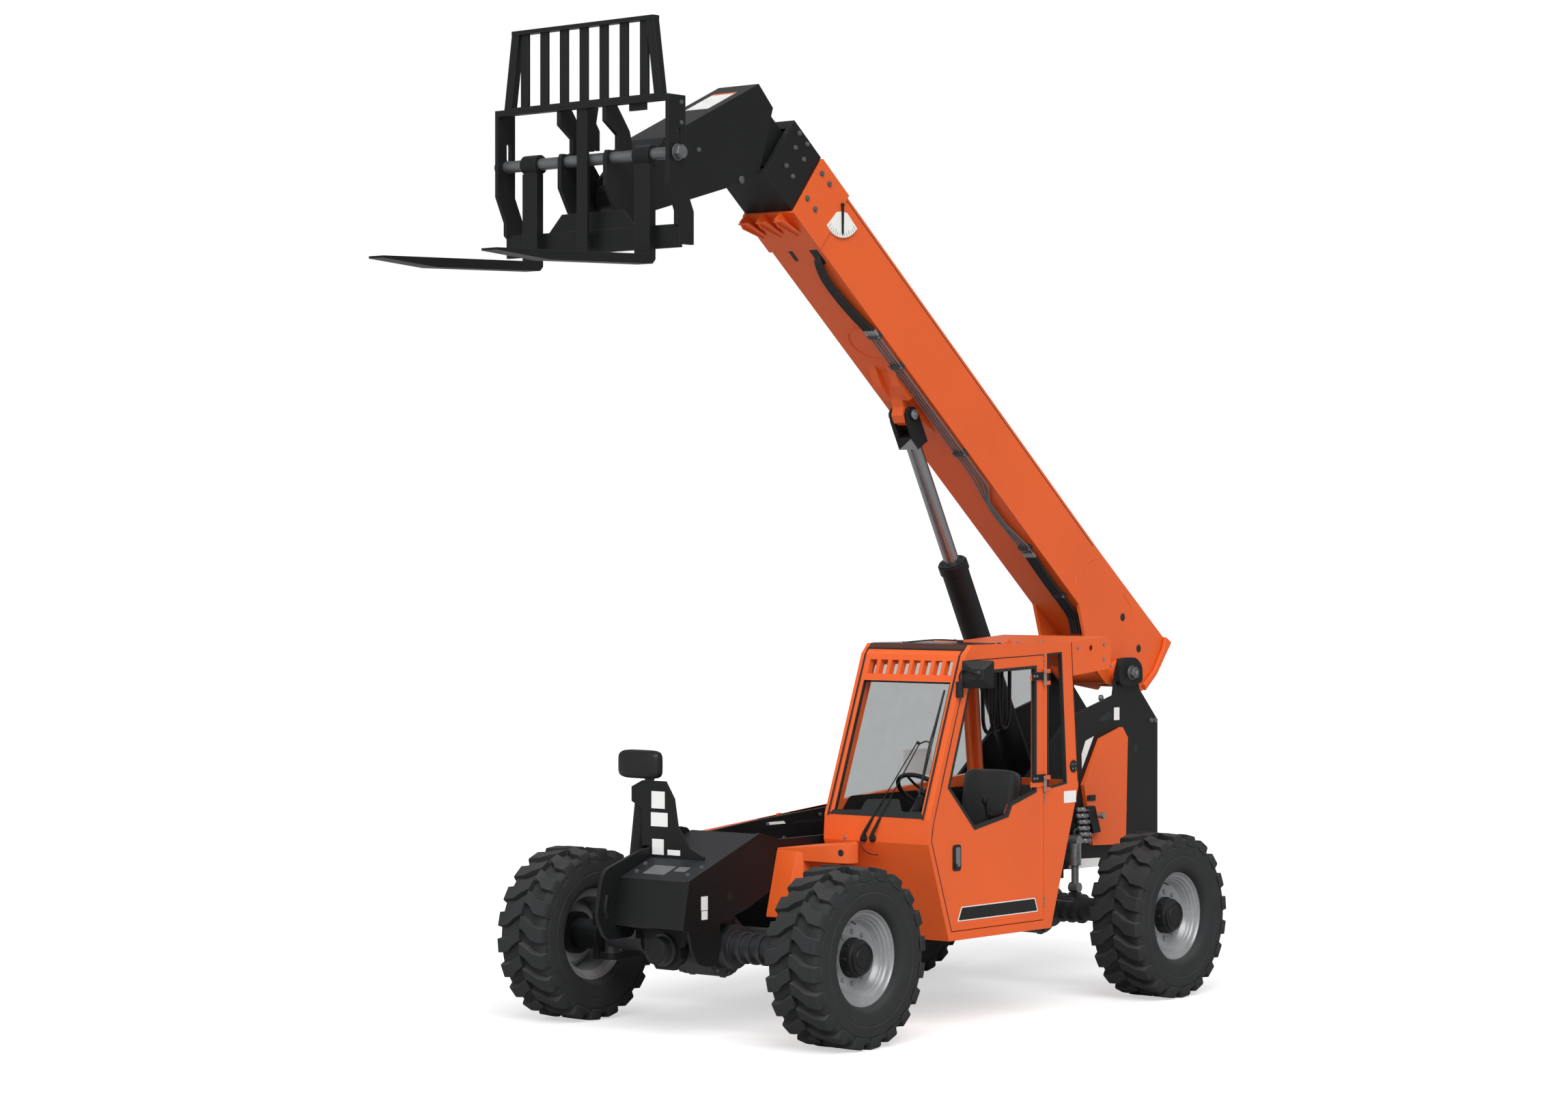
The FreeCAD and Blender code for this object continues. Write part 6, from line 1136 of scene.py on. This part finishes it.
        bm = bmesh.new()
        for k in range(13):
            a, near = -42 + 7 * k, 178 if k % 3 else 166
            plate(bm, [fan(near, a - 0.4, 3), fan(near, a + 0.4, 3), fan(200, a + 0.4, 3), fan(200, a - 0.4, 3)],
                  LEFT, 0, 0.6)
        plate(bm, rounded([hub + Vector((x, 3, z)) * MM for x, z in (
            (-10, 14), (10, 14), (7, -176), (0, -190), (-7, -176))], 0.004), LEFT, 1, 8)
        turned(bm, hub + LEFT * 0.003, LEFT, [(14, 0), (14, 8), (8, 11)], 16)
        piece("dial_marks_and_pointer", bm, "black_powder", "boom_base", edge=0)
        bm = bmesh.new()
        plate(bm, [fan(70, -48, 0)] + [fan(207, -48 + 6 * k, 0) for k in range(17)]
              + [fan(70, 48, 0), fan(44, 20, 0), fan(44, -20, 0)], LEFT, -11, 3)
        piece("dial_fan", bm, "dial_film", "boom_base", edge=0.5, replaces=["angle_dial"])
        return {"FINISHED"}


def stack(bm, x, z, layers):
    """Turned caps and nuts on both ends of a cross pin: y, profile, steps and paint of each."""
    for side in BOTH:
        for y, profile, steps, paint in layers:
            turned(bm, at(x, side * y, z), (0, side, 0), profile, steps, paint)


class FORKLIFT_OT_head_fittings(bpy.types.Operator):
    """Bolts, pins and blank label of the boom's black sections"""
    bl_idname = "forklift.head_fittings"
    bl_label = "Head fittings"

    def execute(self, context):
        bm = bmesh.new()
        for along, over in ((4871, 422), (4765, 422), (4864, 273), (4776, 264), (4800, 520), (4900, 520)):
            for side in BOTH:
                bolt(bm, on_boom(along, over, side * 194), (0, side, 0), 0.028)
        piece("collar_bolts_mid", bm, "dark_bolt", "boom_mid", edge=0.8)
        bm = bmesh.new()
        for side in BOTH:
            way = (0, side, 0)
            turned(bm, at(1537, side * 165, 5287), way, [(24, -1), (24, 6), (20, 9)], 24)
            bolt(bm, at(1940, side * 165, 5440), way, 0.026)
            turned(bm, at(2180, side * 165, 5310), way, [(15, 0), (15, 0.6), (0, 0.6)], 20, 1)
            turned(bm, at(2100, side * 165, 5500), way, [(11, 0), (11, 0.6), (0, 0.6)], 20, 1)
        piece("head_pins", bm, "dark_bolt seal_rubber", "boom_fly", edge=0.8)
        # the label lies across the sloping top plate, from its upper edge to the head
        top, end = on_boom(5355, 512, 0), at(2250, 0, 5490)
        way = end - top
        spot, facing = top + way * 0.30, (way, LEFT, way.cross(LEFT))
        bm = bmesh.new()
        card(bm, spot, facing, 300, 190, 0.3, 1.2)
        piece("head_blank_label", bm, "label_film", "boom_fly", edge=0)
        bm = bmesh.new()
        card(bm, spot + way.normalized() * -0.137, facing, 26, 190, 1.2, 1.6)
        piece("head_label_stripe", bm, "orange_enamel", "boom_fly", edge=0)
        bm = bmesh.new()
        for side in BOTH:
            bolt(bm, at(2440, side * 213, 5120), (0, side, 0), 0.04)
        piece("tilt_pin_ends", bm, "dark_bolt", "carriage", edge=0.8)
        return {"FINISHED"}


class FORKLIFT_OT_carriage_fittings(bpy.types.Operator):
    """Nuts, collars and keeper bolts of the fork carriage"""
    bl_idname = "forklift.carriage_fittings"
    bl_label = "Carriage fittings"

    def execute(self, context):
        bm = bmesh.new()
        stack(bm, 2745, 5324, [(706, [(50, 0), (50, 5), (46, 7)], 24, 0),
                               (712, [(46, 0), (46, 30), (38, 36)], 6, 0),
                               (744, [(30, 0), (30, 6), (24, 8.6)], 20, 1)])
        piece("shaft_nuts", bm, "dark_bolt chromed_rod", "carriage", edge=1.2)
        bm = bmesh.new()
        for side in BOTH:
            for edge in (-1, 1):
                turned(bm, at(2745, side * 456 + edge * 62, 5324), (0, edge, 0),
                       [(57, -4), (57, 0), (52, 3), (38, 3)], 28)
        piece("fork_ring_collars", bm, "black_powder", "carriage", edge=0.8)
        bm = bmesh.new()
        for side in BOTH:
            for z in (5620, 5500):
                bolt(bm, at(2710, side * 705, z), (0, side, 0), 0.022)
        piece("carriage_bolts", bm, "dark_bolt", "carriage", edge=0.8)
        return {"FINISHED"}


class FORKLIFT_OT_lift_fittings(bpy.types.Operator):
    """Gland, ports and pin caps of the lift cylinder"""
    bl_idname = "forklift.lift_fittings"
    bl_label = "Lift cylinder fittings"

    def execute(self, context):
        eye, foot = on_boom(LIFT_EYE, 0, 0), at(-1760, 0, 1204)
        back = (foot - eye).normalized()
        gland = eye + back * ((foot - eye).length - 1.945)
        side = back.orthogonal().normalized()
        bm = bmesh.new()
        turned(bm, gland, back, [(54, -4), (80, -4), (86, 0), (90, 3), (90, 40), (88, 42)], 40)
        for a in turns(6, 0.4):
            turned(bm, gland + (Matrix.Rotation(a, 3, back) @ side) * 0.068, -back, [(8, 0), (8, 12), (5, 14)], 6)
        for run in (0.12, 1.72):
            turned(bm, gland + back * run + LEFT * 0.074, LEFT, [(20, 0), (20, 12.5), (16, 12.8)], 16)
        piece("lift_gland_and_ports", bm, "black_powder", "lift_barrel")
        bm = bmesh.new()
        for side in BOTH:
            turned(bm, eye + LEFT * side * 0.092, (0, side, 0), [(34, 0), (34, 8), (30, 11)], 24)
            bolt(bm, eye + LEFT * side * 0.103, (0, side, 0), 0.022)
        piece("lift_eye_caps", bm, "zinc_steel", "lift_rod", edge=1)
        bm = bmesh.new()
        stack(bm, -2470, 2130, [(317, [(52, -2), (52, 3), (48, 6)], 30, 0),
                                (322, [(50, 0), (50, 16), (46, 20)], 30, 0),
                                (341, [(44, 0), (44, 26), (38, 31)], 6, 0),
                                (371, [(15, 0), (15, 5), (9, 6.5)], 12, 1)])
        piece("boom_pin_caps", bm, "dark_bolt zinc_steel", edge=1.2)
        return {"FINISHED"}


class FORKLIFT_OT_frame_fittings(bpy.types.Operator):
    """Bolts, blank labels, patches and the painted shade of holes and slots of the black frame"""
    bl_idname = "forklift.frame_fittings"
    bl_label = "Frame fittings"

    def execute(self, context):
        slope = Vector((252, 0, 660)).normalized()

        def deck(x, y):
            """Point on the sloping front deck."""
            return at(x, y, 984 + (2172 - x) * 252 / 660)

        # labels of the nose, tower and post plates
        bm = bmesh.new()
        for x, z, wide, high in ((2032, 847, 62, 84), (2031, 774, 56, 54), (-2343, 1846, 66, 88)):
            card(bm, at(x, FRAME_SIDE, z), ON_LEFT, wide, high, 0.3, 0.9)
        for y, z, wide, high in ((-207, 1446, 110, 106), (-197, 1325, 138, 86), (-208, 1156, 96, 96),
                                 (-77, 1126, 104, 33)):
            card(bm, at(1894, y, z), ON_FRONT, wide, high, 0.3, 0.9)
        # long label in the channel, then the rear frame's two white stripes
        for stripe in (side_on(CHANNEL_SIDE, (780, 1222), (760, 1240), (608, 1240), (590, 1222)),
                       side_on(FRAME_SIDE, (-2066, 1700), (-1968, 1672), (-1921, 1583), (-1925, 1481)),
                       side_on(FRAME_SIDE, (-1780, 866), (-2143, 854), (-2112, 795), (-1762, 797))):
            plate(bm, stripe, LEFT, 0.3, 0.9)
        piece("frame_blank_labels", bm, "label_film", edge=0)
        bm = bmesh.new()
        for x, z in ((-2764, 1785), (-2818, 1783)):
            bolt(bm, at(x, FRAME_SIDE, z), LEFT, 0.032)
        for x, z in ((1236, 1180), (772, 1228), (609, 1131), (240, 1262)):
            bolt(bm, at(x, CHANNEL_SIDE, z), LEFT, 0.022)
        for x, y in ((2088, -209), (1985, -231), (2088, 209), (1985, 231)):
            bolt(bm, deck(x, y), slope, 0.026)
        piece("frame_bolts", bm, "dark_bolt", edge=0.8)
        bm = bmesh.new()
        for x0, x1, y0, y1 in ((1992, 2106, -147, 30), (1992, 2053, 60, 150)):
            plate(bm, rounded([deck(x0, y0), deck(x1, y0), deck(x1, y1), deck(x0, y1)], 0.006), slope, 0.2, 0.8)
        piece("deck_patches", bm, "console_grey", edge=0)
        bm = bmesh.new()
        # painted shade: dark discs and plates where the frame's holes and slots are
        for x, z, r in ((1795, 875, 25), (-2573, 1592, 26)):
            turned(bm, at(x, FRAME_SIDE, z), LEFT, [(r, 0), (r, 0.8), (0, 0.8)], 24)
        plate(bm, rounded(side_on(FRAME_SIDE, (-2120, 1800), (-2150, 1835), (-2262, 1870), (-2290, 1830),
                                  (-2262, 1806)), 0.02), LEFT, 0.1, 0.8)
        plate(bm, rounded(side_on(CHANNEL_SIDE, (518, 1216), (500, 1236), (220, 1236), (207, 1216)), 0.01),
              LEFT, 0.1, 0.8)
        piece("frame_openings", bm, "seal_rubber", edge=0)
        bm = bmesh.new()
        # lobe of the left plate that comes down in front of the axle housing
        plate(bm, rounded(side_on(270, (2180, 700), (2140, 560), (2090, 480), (1990, 452), (1900, 470), (1880, 560),
                                  (1879, 733), (1760, 770), (1690, 800), (1700, 860), (1990, 860)), 0.03),
              LEFT, 0, 20)
        # nose of the right plate, forward of the deck
        plate(bm, rounded(side_on(-294, (1917, 1159), (2176, 1079), (2309, 1037), (2347, 963), (2384, 748),
                                  (2318, 628), (2281, 606), (2052, 607)), 0.05), LEFT, 0, 27)
        pipe(bm, smooth_path([at(2296, -266, 880), at(2312, -266, 800), at(2290, -266, 740)], 6), 14)
        # doubler of the pivot ear
        plate(bm, rounded(side_on(FRAME_SIDE, (-2330, 2056), (-2322, 2190), (-2372, 2236), (-2530, 2236),
                                  (-2606, 2180), (-2612, 2060), (-2500, 2040), (-2380, 2040)), 0.035), LEFT, 0, 38)
        piece("ear_doubler", bm, "black_powder", edge=2)
        return {"FINISHED"}


class FORKLIFT_OT_axle_fittings(bpy.types.Operator):
    """Ribs, bolts, covers and steering gear of the two axles"""
    bl_idname = "forklift.axle_fittings"
    bl_label = "Axle fittings"

    def execute(self, context):
        for end, nose in (("front", 1), ("rear", -1)):
            bm = bmesh.new()
            middle = at(nose * AXLE_X, 0, AXLE_Z)
            for side in BOTH:
                way = LEFT * side
                for a in turns(10, 0.2):
                    bolt(bm, middle + way * 0.150 + spoke(a, 0.168), way, 0.022, 1)
                for a in turns(12):
                    rib = middle + way * 0.105 + spoke(a, 0.186)
                    pipe(bm, [rib, rib + way * 0.040], 12, 0, 8)
                # steering ram: black body on the housing and a bright rod out of it
                ram = middle + Vector((-nose * 0.165, side * 0.16, 0.075))
                turned(bm, ram, way, [(34, 0), (36, 4), (36, 190), (40, 192), (40, 214), (30, 220)], 20)
                turned(bm, ram + way * 0.215, way, [(17, 0), (17, 150)], 14, 2)
            turned(bm, middle + UP * 0.155, UP, [(60, 0), (60, 34), (52, 42), (0, 43)], 24)
            piece("axle_covers_" + end, bm, "cast_grey dark_bolt chromed_rod")
        bm = bmesh.new()
        turned(bm, at(2154, 0, AXLE_Z), AHEAD, [(84, -1), (84, 6), (78, 10), (66, 10), (64, 4), (0, 4)], 36)
        piece("trunnion_cap", bm, "black_powder", edge=1.2)
        return {"FINISHED"}


class FORKLIFT_OT_rear_fittings(bpy.types.Operator):
    """Valve bank with its hoses, cover latch and hinge strip on the left of the tower"""
    bl_idname = "forklift.rear_fittings"
    bl_label = "Rear fittings"

    def execute(self, context):
        # the valve bank's six spools stand one over another
        pitch, lowest = 43, 990
        bm = bmesh.new()
        plate(bm, rounded(side_on(352, (-1861, 1228), (-1962, 1228), (-2030, 1044), (-1946, 1038)), 0.01),
              LEFT, 0, 28)
        card(bm, at(-1800, FRAME_SIDE, 1100), ON_LEFT, 80, 230, 0, 34, 8)
        for k in range(6):
            spot = at(-1876 - 10 * (k % 2) - (5 - k) * 8, 362, lowest + pitch * k)
            turned(bm, spot, (1, 0, 0.04), [(20, 0), (20, 16)], 6, 1)
            turned(bm, spot, (1, 0, 0.04), [(13, 14), (13, 30), (18, 32), (18, 66), (14, 70), (14, 92), (18, 94),
                                            (18, 110), (8, 116)], 16, 1)
        turned(bm, at(-2010, 380, 1158), (-0.3, 1, 0), [(18, -4), (18, 14), (24, 15), (24, 34), (18, 38)], 20, 1)
        piece("valve_bank", bm, "black_powder zinc_steel", edge=1, smooth=30,
              replaces=["valve_block"])
        bm = bmesh.new()
        for k in range(3):
            route = [at(-1790, 362, lowest + pitch * k), at(-1740, 360, 985 + 40 * k), at(-1730, 350, 900 + 10 * k),
                     at(-1790, 330, 830), at(-1830, 312, 780)]
            pipe(bm, smooth_path(route, 6), 10)
        piece("valve_hoses", bm, "hose_rubber", edge=0)
        bm = bmesh.new()
        card(bm, at(-1990, 323, 1278), ON_LEFT, 96, 40, 0, 8, 6)
        card(bm, at(-1990, 323, 1278), ON_LEFT, 60, 18, 6, 14, 4)
        piece("cover_latch", bm, "moulded_black", edge=1.2)
        bm = bmesh.new()
        for z in range(1165, 1515, 30):
            turned(bm, at(-2418, 318, z), UP, [(7, 0), (7, 28)], 10)
        piece("cover_hinge", bm, "orange_enamel", edge=0.8)
        # slave cylinder fitting under the heel, seen behind the cab
        bm = bmesh.new()
        stack(bm, -2210, 1960, [(244, [(22, 0), (22, 18), (14, 22)], 16, 1)])
        piece("tower_fittings", bm, "black_powder zinc_steel", edge=1)
        return {"FINISHED"}


class FORKLIFT_OT_roof_fittings(bpy.types.Operator):
    """Roof bolts, lifting eye and joint line of the cab"""
    bl_idname = "forklift.roof_fittings"
    bl_label = "Roof fittings"

    def execute(self, context):
        bm = bmesh.new()
        for x, y in ((-60, 1120), (-300, 1120), (-60, 430), (-300, 430), (200, 1130)):
            bolt(bm, at(x, y, ROOF - 0.5), UP, 0.02)
        for x, z in ((-610, 2360), (-900, 2280), (-900, 2375), (-980, 2230)):
            bolt(bm, at(x, CAB_SIDE - 0.4, z), LEFT, 0.018)
        piece("roof_bolts", bm, "zinc_steel", edge=0.6)
        bm = bmesh.new()
        plate(bm, rounded(side_on(1100, (-10, 2398), (0, 2422), (16, 2432), (32, 2422), (42, 2398)), 0.01),
              LEFT, -5, 5)
        piece("roof_eye", bm, "orange_enamel", edge=1)
        bm = bmesh.new()
        # black joint line between the cab's rear frame and the hose cover
        pipe(bm, side_on(CAB_SIDE + 0.5, (-538, 2396), (-610, 1500)), 3, 0, 6)
        piece("cab_joint_line", bm, "seal_rubber", edge=0)
        return {"FINISHED"}


# ------------------------------------------------------------------ panel and run
MAKERS = (FORKLIFT_OT_stage, FORKLIFT_OT_hoses, FORKLIFT_OT_paint, FORKLIFT_OT_tyres, FORKLIFT_OT_rims,
          FORKLIFT_OT_seals, FORKLIFT_OT_lining, FORKLIFT_OT_panels, FORKLIFT_OT_wipers,
          FORKLIFT_OT_door_fittings, FORKLIFT_OT_mirrors, FORKLIFT_OT_seat, FORKLIFT_OT_controls,
          FORKLIFT_OT_boom_fittings, FORKLIFT_OT_head_fittings, FORKLIFT_OT_carriage_fittings,
          FORKLIFT_OT_lift_fittings, FORKLIFT_OT_frame_fittings, FORKLIFT_OT_axle_fittings,
          FORKLIFT_OT_rear_fittings, FORKLIFT_OT_roof_fittings)


class FORKLIFT_PT_panel(bpy.types.Panel):
    """Lists the pieces and their sizes and colours"""
    bl_label = "Forklift"
    bl_idname = "FORKLIFT_PT_panel"
    bl_space_type = "VIEW_3D"
    bl_region_type = "UI"
    bl_category = "Forklift"

    def draw(self, context):
        for maker in MAKERS:
            self.layout.operator(maker.bl_idname)
        for group in (context.scene.forklift_sizes, context.scene.forklift_colours):
            for name in group.bl_rna.properties.keys():
                if name not in ("rna_type", "name"):
                    self.layout.prop(group, name)


def register():
    for kind in (ForkliftSizes, ForkliftColours, *MAKERS, FORKLIFT_PT_panel):
        bpy.utils.register_class(kind)
    bpy.types.Scene.forklift_sizes = PointerProperty(type=ForkliftSizes)
    bpy.types.Scene.forklift_colours = PointerProperty(type=ForkliftColours)


def unregister():
    del bpy.types.Scene.forklift_colours
    del bpy.types.Scene.forklift_sizes
    for kind in reversed((ForkliftSizes, ForkliftColours, *MAKERS, FORKLIFT_PT_panel)):
        bpy.utils.unregister_class(kind)


def main():
    register()
    for maker in MAKERS:
        family, name = maker.bl_idname.split(".")
        getattr(getattr(bpy.ops, family), name)()


if __name__ == "__main__":
    main()
